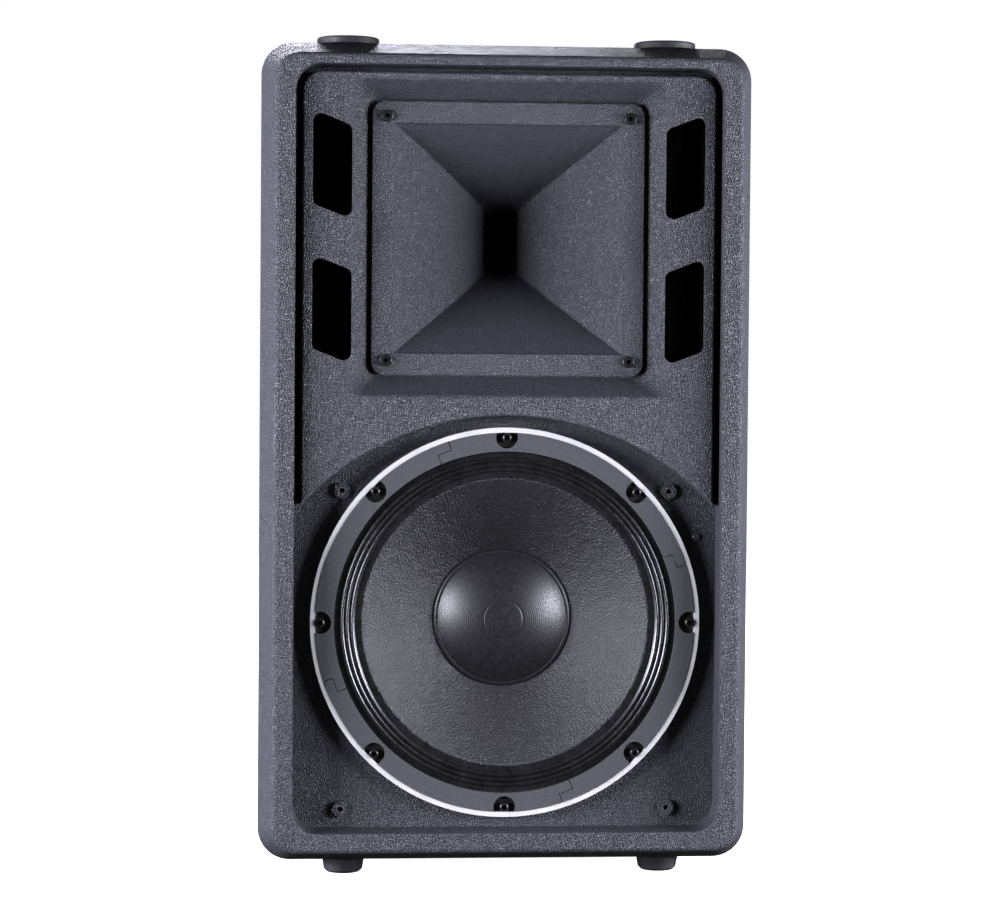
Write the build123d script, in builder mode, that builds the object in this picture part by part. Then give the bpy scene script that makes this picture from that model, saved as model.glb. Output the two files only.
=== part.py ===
from build123d import *
from math import asin, atan2, cos, pi, radians, sin
import os

# Powered two-way PA loudspeaker in a moulded cabinet.
# Millimetres. The front faces -Y, +Z is up, and the origin is on the floor, under the middle.

# ---------------------------------------------------------------- driving sizes
cabinet_width = 394.0
shell_height = 654.0
cabinet_depth = 360.0
rear_width = 290.0
wall = 5.0
foot_height = 12.0
foot_radius = 17.3
front_bevel = 12.0
front_bevel_depth = 40.0
corner_radius = 26.0
rear_corner_radius = 22.0
front_straight_depth = 120.0
front_edge_radius = 4.0
rear_edge_radius = 7.0
seam_gap = 2.0

bezel_side = 15.75
bezel_top = 8.0
bezel_bottom = 15.5
recess_depth = 30.0
recess_radius = 20.0
recess_round = 1.2
baffle_thickness = 6.0
groove_width = 5.0
fascia_drop = 9.0
fascia_wall = 4.0
fascia_arc_radius = 225.0
fascia_round = 2.0
fascia_arc_drop = 15.0

woofer_z = 204.5
woofer_flange_radius = 152.0
trim_ring_width = 4.0
woofer_screw_circle = 296.0
woofer_screw_count = 8
cone_edge_radius = 119.5
cone_slope = 0.62
cone_thickness = 1.2
dust_cap_radius = 56.0
dust_cap_rise = 17.0
coil_radius = 32.3
magnet_radius = 85.0
magnet_thickness = 20.0

horn_z = 510.5
horn_flange = 217.5
horn_mouth = 182.5
horn_screw_spacing = 194.0
horn_flare_depth = 85.0
horn_wall = 3.5
throat_width = 26.0
throat_height = 48.0
funnel_width = 260.0
funnel_height = 251.0
funnel_radius = 12.0
funnel_floor_radius = 11.0
funnel_round = 5.0
funnel_floor_gap = 1.0
driver_radius = 45.0
driver_throat_radius = 12.7

port_width = 31.0
port_edge_height = 74.0
port_slant = 12.0
port_x = 140.3
port_spacing = 114.0
port_length = 70.0
port_radius = 6.0
duct_wall = 2.5

grille_screw_x = 262.0
grille_screw_z = 255.0
grille_screw_middle = 182.0
grille_hole_radius = 2.1

pole_radius = 18.0
pole_depth = 85.0
pole_y = 20.0
rigging_radius = 4.25
rigging_length = 22.0

handle_length = 150.0
handle_height = 92.0
handle_depth = 48.0
handle_corner = 12.0
handle_y = 45.0
handle_z = 372.0

panel_width = 232.0
panel_height = 336.0
panel_z = 336.0
panel_recess = 25.0
panel_thickness = 3.0
knob_radius = 9.0
knob_height = 13.0

# ---------------------------------------------------------------- named clearances
fit = 0.3
glue_gap = 0.2
running = 0.05
tiny = 0.01
screw_clearance = 0.3

# ---------------------------------------------------------------- places worked out from the sizes
front_y = -cabinet_depth / 2
rear_y = cabinet_depth / 2
seam_y = front_y + front_straight_depth
shell_z = foot_height
shell_top = shell_z + shell_height
shell_mid = shell_z + shell_height / 2
recess_width = cabinet_width - 2 * (front_bevel + bezel_side)
recess_low = shell_z + front_bevel + bezel_bottom
recess_high = shell_top - front_bevel - bezel_top
recess_height = recess_high - recess_low
recess_mid = (recess_high + recess_low) / 2
floor_y = front_y + recess_depth
baffle_back = floor_y + baffle_thickness
fascia_y = front_y + fascia_drop
fascia_width = recess_width - 2 * groove_width
fascia_high = recess_high - groove_width
fascia_radius = recess_radius - groove_width
arc_apex_z = horn_z - funnel_height / 2 - fascia_arc_drop
arc_centre_z = arc_apex_z - fascia_arc_radius
taper = (cabinet_width - rear_width) / 2 / (rear_y - seam_y)
screw_circle = woofer_screw_circle / 2

os.makedirs("parts", exist_ok=True)


def facing(y):
    """Plane at depth y that faces the front: local x is X, local y is Z."""
    return Plane.XZ.offset(-y)


def half_width(y):
    """Half the outside width of the shell at depth y behind the seam."""
    return cabinet_width / 2 - taper * (y - seam_y)


def side_plane(side, y, z):
    """Plane on the slanted outer side of the rear shell, normal outwards, local y up."""
    angle = atan2(taper, 1)
    normal = (side * cos(angle), sin(angle), 0)
    along = (-sin(angle), side * cos(angle), 0)
    return Plane(origin=(side * half_width(y), y, z), x_dir=along, z_dir=normal)


def grid(x_step, z_step, middle_x, middle_z):
    """Corners of a rectangle of hole centres."""
    return [
        (middle_x + sx * x_step / 2, middle_z + sz * z_step / 2)
        for sx in (-1, 1)
        for sz in (-1, 1)
    ]


def finish(part, name):
    """Name a finished piece and write it."""
    part.label = name
    export_step(part, f"parts/{name}.step")


# ---------------------------------------------------------------- cabinet envelope
def envelope(inset, front, rear):
    """Sections of the cabinet's outside, drawn in by inset, from front to rear."""
    width = cabinet_width - 2 * inset
    height = shell_height - 2 * inset
    with BuildPart() as body:
        if front < front_y + front_bevel_depth:
            with BuildSketch(facing(front)):
                with Locations((0, shell_mid)):
                    RectangleRounded(
                        width - 2 * front_bevel,
                        height - 2 * front_bevel,
                        corner_radius - inset - front_bevel / 2,
                    )
            with BuildSketch(facing(front_y + front_bevel_depth)):
                with Locations((0, shell_mid)):
                    RectangleRounded(width, height, corner_radius - inset)
            loft()
        start = max(front, front_y + front_bevel_depth)
        with BuildSketch(facing(start)):
            with Locations((0, shell_mid)):
                RectangleRounded(width, height, corner_radius - inset)
        extrude(amount=-(min(rear, seam_y) - start))
        if rear > seam_y:
            with BuildSketch(facing(seam_y)):
                with Locations((0, shell_mid)):
                    RectangleRounded(width, height, corner_radius - inset)
            with BuildSketch(facing(rear)):
                with Locations((0, shell_mid)):
                    RectangleRounded(
                        2 * (half_width(rear) - inset), height, rear_corner_radius - inset
                    )
            loft()
    return body


outer_form = envelope(0, front_y, rear_y)
cavity_form = envelope(wall, baffle_back, rear_y - wall)

# ---------------------------------------------------------------- fascia outline and its hollow
with BuildSketch() as fascia_outline:
    with Locations((0, (fascia_high + recess_low) / 2)):
        RectangleRounded(fascia_width, fascia_high - recess_low, fascia_radius)
    with Locations((0, arc_centre_z)):
        Circle(fascia_arc_radius, mode=Mode.SUBTRACT)
    with Locations((0, recess_low)):
        Rectangle(cabinet_width, 2 * (arc_centre_z - recess_low), mode=Mode.SUBTRACT)

with BuildPart() as fascia_hollow:
    with BuildSketch(facing(fascia_y + fascia_wall)):
        add(fascia_outline.sketch)
        offset(amount=-fascia_wall, mode=Mode.REPLACE)
    extrude(amount=-(baffle_back - fascia_y - fascia_wall))
    with BuildSketch(facing(fascia_y)):
        with Locations((0, horn_z)):
            RectangleRounded(
                funnel_width + 2 * fascia_wall, funnel_height + 2 * fascia_wall, funnel_radius + 2
            )
    with BuildSketch(facing(baffle_back)):
        with Locations((0, horn_z)):
            RectangleRounded(
                horn_flange + 2 * fascia_wall, horn_flange + 2 * fascia_wall, funnel_radius + 2
            )
    loft(mode=Mode.SUBTRACT)

# Port outline: a parallelogram whose ends rise towards the cabinet's side.
port_points = [
    (-port_width / 2, -(port_edge_height + port_slant) / 2),
    (port_width / 2, -(port_edge_height - port_slant) / 2),
    (port_width / 2, (port_edge_height + port_slant) / 2),
    (-port_width / 2, (port_edge_height - port_slant) / 2),
]
port_places = [
    (side * port_x, horn_z + rise * port_spacing / 2, side)
    for side in (-1, 1)
    for rise in (-1, 1)
]


def port_outline(side, grow):
    """The port's rounded outline, grown outwards by grow, on its cabinet side."""
    with BuildSketch() as outline:
        with BuildLine():
            Polyline([(side * x, z) for x, z in port_points], close=True)
        make_face()
        fillet(outline.vertices(), port_radius)
        if grow:
            offset(amount=grow, mode=Mode.REPLACE)
    return outline.sketch


# ---------------------------------------------------------------- front shell
seam_boss_radius = 6.0
seam_screw_radius = 2.0
seam_boss_sink = 1.0
seam_boss_x = cabinet_width / 2 - wall - seam_boss_radius + seam_boss_sink
seam_boss_z = [shell_z + shell_height * share for share in (0.09, 0.33, 0.68, 0.91)]
seam_boss_depth = 24.0
seam_places = [(side * seam_boss_x, z) for side in (-1, 1) for z in seam_boss_z]
grille_boss_radius = 6.4
grille_boss_height = 3.0
grille_boss_back = 4.0
lamp_x = 154.0
lamp_z = 273.0
lamp_radius = 2.5
lamp_rim = 1.0
lamp_rise = 2.0
lamp_tail = 3.0
lamp_round = 1.5
horn_opening_radius = 4.0
foot_boss_height = 10.0
foot_boss_floor = 2.0
insert_rise = 2.0
rigging_front_y = seam_y - 40.0
rigging_rear_y = rear_y - 68.0
insert_radius = 7.0
foot_screw_radius = 2.4
front_foot = (cabinet_width / 2 - 69.0, front_y + 55.0)
rear_foot = (cabinet_width / 2 - 87.0, rear_y - 62.0)
foot_places = [(side * x, y) for x, y in (front_foot, rear_foot) for side in (-1, 1)]
grille_insert_radius = 3.4
horn_screw_radius = 1.9
woofer_screw_radius = 2.6
basket_opening = 139.0
horn_opening = horn_mouth

with BuildPart() as front_shell:
    add(outer_form.part)
    split(bisect_by=facing(seam_y), keep=Keep.TOP)
    fillet(front_shell.edges().group_by(Axis.Y)[0], front_edge_radius)
    with BuildSketch(facing(baffle_back)):
        with Locations((0, shell_mid)):
            RectangleRounded(cabinet_width - 2 * wall, shell_height - 2 * wall, corner_radius - wall)
    extrude(amount=-(seam_y - baffle_back), mode=Mode.SUBTRACT)
    # hollow behind the bezel
    with BuildSketch(facing(front_y + front_bevel_depth / 2)):
        with Locations((0, shell_mid)):
            RectangleRounded(
                cabinet_width - front_bevel - 2 * wall,
                shell_height - front_bevel - 2 * wall,
                corner_radius - wall,
            )
        with Locations((0, recess_mid)):
            RectangleRounded(
                recess_width + 2 * wall - 2,
                recess_height + 2 * wall - 2,
                recess_radius + wall,
                mode=Mode.SUBTRACT,
            )
    extrude(amount=-(baffle_back - front_y - front_bevel_depth / 2), mode=Mode.SUBTRACT)
    # grille recess
    with BuildSketch(facing(front_y)):
        with Locations((0, recess_mid)):
            RectangleRounded(recess_width, recess_height, recess_radius)
    extrude(amount=-recess_depth, mode=Mode.SUBTRACT)
    front_edges = front_shell.edges().filter_by_position(Axis.Y, front_y - tiny, front_y + tiny)
    recess_edges = front_edges.filter_by(
        lambda edge: abs(edge.center().X) < recess_width / 2 + 1
        and recess_low - 1 < edge.center().Z < recess_high + 1
    )
    fillet(recess_edges, recess_round)
    # raised horn panel
    with BuildSketch(facing(fascia_y)):
        add(fascia_outline.sketch)
    extrude(amount=-(floor_y - fascia_y))
    fascia_faces = front_shell.faces().filter_by(Plane.XZ)
    fascia_faces = fascia_faces.filter_by_position(Axis.Y, fascia_y - tiny, fascia_y + tiny)
    fillet(fascia_faces.edges(), fascia_round)
    add(fascia_hollow.part, mode=Mode.SUBTRACT)
    # funnel round the horn
    with BuildSketch(facing(fascia_y)):
        with Locations((0, horn_z)):
            RectangleRounded(funnel_width, funnel_height, funnel_radius)
    with BuildSketch(facing(floor_y)):
        with Locations((0, horn_z)):
            funnel_floor = horn_flange + 2 * funnel_floor_gap
            RectangleRounded(funnel_floor, funnel_floor, funnel_floor_radius)
    loft(mode=Mode.SUBTRACT)
    fascia_faces = front_shell.faces().filter_by(Plane.XZ)
    fascia_faces = fascia_faces.filter_by_position(Axis.Y, fascia_y - tiny, fascia_y + tiny)
    funnel_edges = fascia_faces.edges().filter_by(
        lambda edge: abs(edge.center().X) < funnel_width / 2 + 1
        and abs(edge.center().Z - horn_z) < funnel_height / 2 + 1
    )
    fillet(funnel_edges, funnel_round)
    # ports
    for x, z, side in port_places:
        with BuildSketch(facing(fascia_y - 1)):
            with Locations((x, z)):
                add(port_outline(side, 0))
        extrude(amount=-(baffle_back - fascia_y + 2), mode=Mode.SUBTRACT)
    # horn opening, woofer opening
    with BuildSketch(facing(floor_y)):
        with Locations((0, horn_z)):
            RectangleRounded(horn_opening, horn_opening, horn_opening_radius)
        with Locations((0, woofer_z)):
            Circle(basket_opening)
        with Locations((0, woofer_z)):
            with PolarLocations(screw_circle, woofer_screw_count):
                Circle(woofer_screw_radius)
        with Locations((0, horn_z)):
            with GridLocations(horn_screw_spacing, horn_screw_spacing, 2, 2):
                Circle(horn_screw_radius)
        with Locations((lamp_x, lamp_z)):
            Circle(lamp_radius + fit)
    extrude(amount=-baffle_thickness, mode=Mode.SUBTRACT)
    # bosses for the grille's screws
    with BuildSketch(facing(floor_y - grille_boss_height)):
        with Locations((0, grille_screw_middle)):
            with GridLocations(grille_screw_x, grille_screw_z, 2, 2):
                Circle(grille_boss_radius)
    extrude(amount=-(grille_boss_height + baffle_thickness + grille_boss_back))
    with BuildSketch(facing(floor_y - grille_boss_height)):
        with Locations((0, grille_screw_middle)):
            with GridLocations(grille_screw_x, grille_screw_z, 2, 2):
                Circle(grille_insert_radius)
    extrude(amount=-(grille_boss_height + baffle_thickness), mode=Mode.SUBTRACT)
    # bosses that take the shell screws
    with BuildSketch(facing(seam_y - seam_boss_depth)):
        with Locations(*seam_places):
            Circle(seam_boss_radius)
    extrude(amount=-seam_boss_depth)
    with BuildSketch(facing(seam_y - seam_boss_depth + wall)):
        with Locations(*seam_places):
            Circle(seam_screw_radius)
    extrude(amount=-seam_boss_depth, mode=Mode.SUBTRACT)
    # rigging boss in the top
    with BuildSketch(Plane.XY.offset(shell_top - wall - rigging_length)):
        with Locations((0, rigging_front_y)):
            Circle(insert_radius + wall)
    extrude(amount=rigging_length + wall + insert_rise)
    with BuildSketch(Plane.XY.offset(shell_top + insert_rise - rigging_length)):
        with Locations((0, rigging_front_y)):
            Circle(insert_radius)
    extrude(amount=rigging_length, mode=Mode.SUBTRACT)
    # foot bosses
    with BuildSketch(Plane.XY.offset(shell_z)):
        with Locations(*foot_places[:2]):
            Circle(foot_screw_radius + wall)
    extrude(amount=wall + foot_boss_height)
    with BuildSketch(Plane.XY.offset(shell_z)):
        with Locations(*foot_places[:2]):
            Circle(foot_screw_radius)
    extrude(amount=wall + foot_boss_height - foot_boss_floor, mode=Mode.SUBTRACT)
finish(front_shell.part, "front_shell")

# ---------------------------------------------------------------- seam gasket
with BuildPart() as seam_gasket:
    with BuildSketch(facing(seam_y)):
        with Locations((0, shell_mid)):
            RectangleRounded(cabinet_width - 2, shell_height - 2, corner_radius - 1)
            RectangleRounded(
                cabinet_width - 2 * wall, shell_height - 2 * wall, corner_radius - wall,
                mode=Mode.SUBTRACT,
            )
    extrude(amount=-seam_gap)
finish(seam_gasket.part, "seam_gasket")

# ---------------------------------------------------------------- rear shell
pocket_width = panel_width + 2 * fit
pocket_height = panel_height + 2 * fit
pocket_lip = 10.0
pocket_radius = 6.0
pocket_lip_radius = 4.0
panel_screw_inset = 5.0
panel_screw_radius = 1.9
panel_screw_x = panel_width - 2 * panel_screw_inset
panel_screw_z = panel_height - 2 * panel_screw_inset
panel_screw_places = grid(panel_screw_x, panel_screw_z, 0, panel_z) + [
    (side * panel_screw_x / 2, panel_z) for side in (-1, 1)
]
panel_seat_y = rear_y - panel_recess
well_radius = 8.0
well_wall = 2.5
well_depth = 50.0
shell_screw_seat = 8.0
shell_screw_y = seam_y + shell_screw_seat
socket_outer = pole_radius + 4.0
socket_flange = 80.0
socket_flange_thickness = 4.0
socket_screw_spacing = 62.0
socket_screw_radius = 2.0

with BuildPart() as rear_shell:
    add(outer_form.part)
    split(bisect_by=facing(seam_y + seam_gap), keep=Keep.BOTTOM)
    fillet(rear_shell.edges().group_by(Axis.Y)[-1], rear_edge_radius)
    add(cavity_form.part, mode=Mode.SUBTRACT)
    # pocket for the amplifier panel
    with BuildSketch(facing(panel_seat_y - wall)):
        with Locations((0, panel_z)):
            RectangleRounded(
                pocket_width + 2 * wall, pocket_height + 2 * wall, pocket_radius + wall
            )
    extrude(amount=-(panel_recess + wall - 2))
    with BuildSketch(facing(panel_seat_y)):
        with Locations((0, panel_z)):
            RectangleRounded(pocket_width, pocket_height, pocket_radius)
    extrude(amount=-(panel_recess + 2), mode=Mode.SUBTRACT)
    with BuildSketch(facing(panel_seat_y - wall - 1)):
        with Locations((0, panel_z)):
            RectangleRounded(
                pocket_width - 2 * pocket_lip, pocket_height - 2 * pocket_lip, pocket_lip_radius
            )
    extrude(amount=-(wall + 2), mode=Mode.SUBTRACT)
    with BuildSketch(facing(panel_seat_y)):
        with Locations(*panel_screw_places):
            Circle(panel_screw_radius)
    extrude(amount=wall, mode=Mode.SUBTRACT)
    # screw wells from behind
    for x, z in seam_places:
        with BuildSketch(facing(seam_y + seam_gap)):
            with Locations((x, z)):
                Circle(well_radius + well_wall)
        extrude(amount=-well_depth)
    add(outer_form.part, mode=Mode.INTERSECT)
    with BuildSketch(facing(shell_screw_y)):
        with Locations(*seam_places):
            Circle(well_radius)
    extrude(amount=-(rear_y - shell_screw_y), mode=Mode.SUBTRACT)
    with BuildSketch(facing(seam_y)):
        with Locations(*seam_places):
            Circle(seam_screw_radius + screw_clearance)
    extrude(amount=-(shell_screw_seat + seam_gap), mode=Mode.SUBTRACT)
    # handle openings in the slanted sides
    for side in (-1, 1):
        with BuildSketch(side_plane(side, handle_y, handle_z).offset(wall)):
            RectangleRounded(
                handle_length + 2 * fit, handle_height + 2 * fit, handle_corner + fit
            )
        extrude(amount=-4 * wall, mode=Mode.SUBTRACT)
    # pole socket opening in the bottom
    with BuildSketch(Plane.XY.offset(shell_z - 1)):
        with Locations((0, pole_y)):
            Circle(socket_outer + fit)
            with GridLocations(socket_screw_spacing, socket_screw_spacing, 2, 2):
                Circle(socket_screw_radius)
    extrude(amount=wall + 2, mode=Mode.SUBTRACT)
    # rigging boss in the top
    with BuildSketch(Plane.XY.offset(shell_top - wall - rigging_length)):
        with Locations((0, rigging_rear_y)):
            Circle(insert_radius + wall)
    extrude(amount=rigging_length + wall + insert_rise)
    with BuildSketch(Plane.XY.offset(shell_top + insert_rise - rigging_length)):
        with Locations((0, rigging_rear_y)):
            Circle(insert_radius)
    extrude(amount=rigging_length, mode=Mode.SUBTRACT)
    # foot bosses
    with BuildSketch(Plane.XY.offset(shell_z)):
        with Locations(*foot_places[2:]):
            Circle(foot_screw_radius + wall)
    extrude(amount=wall + foot_boss_height)
    with BuildSketch(Plane.XY.offset(shell_z)):
        with Locations(*foot_places[2:]):
            Circle(foot_screw_radius)
    extrude(amount=wall + foot_boss_height - foot_boss_floor, mode=Mode.SUBTRACT)
finish(rear_shell.part, "rear_shell")


# ---------------------------------------------------------------- screws
def screw(radius, length, head_radius, head_height, socket):
    """Screw along +Z: head above z = 0, shank below it, hexagon socket in the head."""
    with BuildPart() as body:
        with BuildSketch(Plane.XY.offset(-length)):
            Circle(radius)
        extrude(amount=length)
        with BuildSketch(Plane.XY):
            Circle(head_radius)
        extrude(amount=head_height)
        fillet(body.faces().sort_by(Axis.Z)[-1].edges(), head_height * 0.4)
        with BuildSketch(Plane.XY.offset(head_height * 0.3)):
            RegularPolygon(socket, 6)
        extrude(amount=head_height, mode=Mode.SUBTRACT)
    return body.part


def screws(name, planes, radius, length, head_radius, head_height, socket):
    """Equal screws with their head faces on the given planes, heads along the normals."""
    model = screw(radius, length, head_radius, head_height, socket)
    with BuildPart() as group:
        with Locations(*planes):
            add(model)
    finish(group.part, name)


def front_planes(places, y):
    """Planes at depth y that face the front, one at each (x, z)."""
    return [Plane(origin=(x, y, z), x_dir=(1, 0, 0), z_dir=(0, -1, 0)) for x, z in places]


def rear_planes(places, y):
    """Planes at depth y that face the rear, one at each (x, z)."""
    return [Plane(origin=(x, y, z), x_dir=(-1, 0, 0), z_dir=(0, 1, 0)) for x, z in places]


screws("shell_screws", rear_planes(seam_places, shell_screw_y), 1.95, 24, 4.5, 3.5, 2)

# ---------------------------------------------------------------- feet and stacking discs
foot_face_radius = 13.5
foot_head_recess = 6.0
foot_head_radius = 6.0
foot_bevel = 2.0
with BuildPart() as feet:
    with BuildSketch(Plane.XZ):
        with BuildLine():
            Polyline(
                (foot_screw_radius + fit, foot_head_recess),
                (foot_head_radius, foot_head_recess),
                (foot_head_radius, 0),
                (foot_face_radius, 0),
                (foot_face_radius + foot_bevel, foot_bevel),
                (foot_radius, foot_height),
                (foot_screw_radius + fit, foot_height),
                close=True,
            )
        make_face()
    revolve(axis=Axis.Z)
with BuildPart() as feet_set:
    with Locations(*[(x, y, 0) for x, y in foot_places]):
        add(feet.part)
finish(feet_set.part, "feet")

with BuildPart() as foot_screws:
    with Locations(*[Plane(origin=(x, y, foot_head_recess), z_dir=(0, 0, -1)) for x, y in foot_places]):
        add(screw(foot_screw_radius - 0.05, 16, 4.5, 3, 1.8))
finish(foot_screws.part, "foot_screws")

disc_radius = 25.0
disc_height = 5.5
disc_recess = 3.0
disc_round = 1.8
foot_room = 0.7
with BuildPart() as stacking_discs:
    with BuildSketch(Plane.XY.offset(shell_top)):
        with Locations(*foot_places):
            Circle(disc_radius)
    extrude(amount=disc_height)
    fillet(stacking_discs.edges().group_by(Axis.Z)[-1], disc_round)
    with BuildSketch(Plane.XY.offset(shell_top + disc_height - disc_recess)):
        with Locations(*foot_places):
            Circle(foot_radius + foot_room)
    extrude(amount=disc_recess, mode=Mode.SUBTRACT)
finish(stacking_discs.part, "stacking_discs")

# ---------------------------------------------------------------- rigging and grille inserts
insert_top = shell_top + insert_rise
with BuildPart() as rigging_inserts:
    with BuildSketch(Plane.XY.offset(insert_top - rigging_length)):
        with Locations((0, rigging_front_y), (0, rigging_rear_y)):
            Circle(insert_radius)
            Circle(rigging_radius, mode=Mode.SUBTRACT)
    extrude(amount=rigging_length)
finish(rigging_inserts.part, "rigging_inserts")

with BuildPart() as grille_inserts:
    with BuildSketch(facing(floor_y - grille_boss_height)):
        with Locations((0, grille_screw_middle)):
            with GridLocations(grille_screw_x, grille_screw_z, 2, 2):
                Circle(grille_insert_radius)
                Circle(grille_hole_radius, mode=Mode.SUBTRACT)
    extrude(amount=-(grille_boss_height + baffle_thickness))
finish(grille_inserts.part, "grille_inserts")

# ---------------------------------------------------------------- pole socket
with BuildPart() as pole_socket:
    with BuildSketch(Plane.XY.offset(shell_z - socket_flange_thickness)):
        with Locations((0, pole_y)):
            RectangleRounded(socket_flange, socket_flange, 10)
    extrude(amount=socket_flange_thickness)
    with BuildSketch(Plane.XY.offset(shell_z)):
        with Locations((0, pole_y)):
            Circle(socket_outer)
    extrude(amount=pole_depth + wall - socket_flange_thickness)
    with BuildSketch(Plane.XY.offset(shell_z - socket_flange_thickness)):
        with Locations((0, pole_y)):
            Circle(pole_radius)
    extrude(amount=pole_depth, mode=Mode.SUBTRACT)
    with BuildSketch(Plane.XY.offset(shell_z - socket_flange_thickness)):
        with Locations((0, pole_y)):
            with GridLocations(socket_screw_spacing, socket_screw_spacing, 2, 2):
                Circle(socket_screw_radius + screw_clearance)
    extrude(amount=socket_flange_thickness, mode=Mode.SUBTRACT)
finish(pole_socket.part, "pole_socket")

with BuildPart() as pole_socket_screws:
    with Locations(*[
        Plane(origin=(x, y + pole_y, shell_z - socket_flange_thickness), z_dir=(0, 0, -1))
        for x, y in grid(socket_screw_spacing, socket_screw_spacing, 0, 0)
    ]):
        add(screw(socket_screw_radius - 0.05, 12, 3.8, 2.4, 1.6))
finish(pole_socket_screws.part, "pole_socket_screws")

# ---------------------------------------------------------------- handle cups
cup_wall = 3.0
cup_flange = 9.0
cup_flange_thickness = 2.5
grip_height = 30.0
grip_thickness = 11.0
cup_flange_round = 1.2
cup_screw_radius = 1.9
handle_screw_x = handle_length + cup_flange
handle_screw_z = handle_height - 20
for side, name in ((-1, "handle_cup_left"), (1, "handle_cup_right")):
    skin = side_plane(side, handle_y, handle_z)
    with BuildPart() as handle_cup:
        with BuildSketch(skin):
            RectangleRounded(
                handle_length + 2 * cup_flange, handle_height + 2 * cup_flange,
                handle_corner + cup_flange - cup_wall,
            )
        extrude(amount=cup_flange_thickness)
        outward = Axis((0, 0, 0), skin.z_dir)
        fillet(handle_cup.faces().sort_by(outward)[-1].edges(), cup_flange_round)
        with BuildSketch(skin):
            RectangleRounded(handle_length, handle_height, handle_corner)
        extrude(amount=-handle_depth)
        with BuildSketch(skin.offset(-grip_thickness)):
            RectangleRounded(
                handle_length - 2 * cup_wall, handle_height - 2 * cup_wall, handle_corner - cup_wall
            )
        extrude(amount=-(handle_depth - cup_wall - grip_thickness), mode=Mode.SUBTRACT)
        with BuildSketch(skin.offset(cup_flange_thickness)):
            with Locations((0, -grip_height / 2)):
                RectangleRounded(
                    handle_length - 2 * cup_wall, handle_height - 2 * cup_wall - grip_height,
                    handle_corner - cup_wall,
                )
        extrude(amount=-(grip_thickness + cup_flange_thickness), mode=Mode.SUBTRACT)
        with BuildSketch(skin.offset(cup_flange_thickness)):
            with GridLocations(handle_screw_x, handle_screw_z, 2, 2):
                Circle(cup_screw_radius)
        extrude(amount=-cup_flange_thickness, mode=Mode.SUBTRACT)
    finish(handle_cup.part, name)

handle_planes = []
for side in (-1, 1):
    skin = side_plane(side, handle_y, handle_z)
    for u, v in grid(handle_screw_x, handle_screw_z, 0, 0):
        centre = skin.from_local_coords((u, v, cup_flange_thickness))
        handle_planes.append(Plane(origin=centre, x_dir=skin.x_dir, z_dir=skin.z_dir))
screws("handle_screws", handle_planes, 1.6, cup_flange_thickness - 0.1, 3.2, 2, 1.2)

# ---------------------------------------------------------------- port ducts
with BuildPart() as port_ducts:
    for x, z, side in port_places:
        with BuildSketch(facing(baffle_back)):
            with Locations((x, z)):
                add(port_outline(side, duct_wall))
        extrude(amount=-port_length)
    for x, z, side in port_places:
        with BuildSketch(facing(baffle_back)):
            with Locations((x, z)):
                add(port_outline(side, 0))
        extrude(amount=-port_length, mode=Mode.SUBTRACT)
finish(port_ducts.part, "port_ducts")

# ---------------------------------------------------------------- indicator lamp
with BuildPart() as status_lamp:
    with BuildSketch(facing(floor_y)):
        with Locations((lamp_x, lamp_z)):
            Circle(lamp_radius)
    extrude(amount=-(baffle_thickness + lamp_tail))
    with BuildSketch(facing(floor_y - lamp_rise)):
        with Locations((lamp_x, lamp_z)):
            Circle(lamp_radius + lamp_rim)
    extrude(amount=-lamp_rise)
    fillet(status_lamp.edges().group_by(Axis.Y)[0], lamp_round)
finish(status_lamp.part, "status_lamp")

# ---------------------------------------------------------------- woofer
flange_front = floor_y - 5.0
ledge_radius = 140.0
surround_land = 0.8
ledge_y = flange_front + surround_land
gasket_inner = 137.0
gasket_front = flange_front - 3.5
basket_inner = 131.5
basket_base_y = floor_y + 66.0
basket_base_thickness = 4.0
shelf_y = basket_base_y - 8.0
base_radius = 90.0
top_plate_thickness = 8.0
gap_inner = 30.8
gap_outer = 33.6
magnet_y = basket_base_y + basket_base_thickness + top_plate_thickness
back_plate_y = magnet_y + magnet_thickness
back_plate_thickness = 10.0
woofer_axis = Axis((0, 0, woofer_z), (0, 1, 0))


def turned(name, points, axis_z, write=True):
    """Solid of revolution about the Y-direction line at height axis_z, from (radius, y) points."""
    with BuildPart() as body:
        with BuildSketch(Plane(origin=(0, 0, axis_z), x_dir=(1, 0, 0), z_dir=(0, 0, 1))):
            with BuildLine():
                Polyline(points, close=True)
            make_face()
        revolve(axis=Axis((0, 0, axis_z), (0, 1, 0)))
    if write:
        finish(body.part, name)
    return body.part


def disc_ring(name, inner, outer, front, rear, axis_z, write=True):
    """Flat ring between two radii, from front to rear depth."""
    return turned(
        name, [(inner, front), (outer, front), (outer, rear), (inner, rear)], axis_z, write
    )


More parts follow.
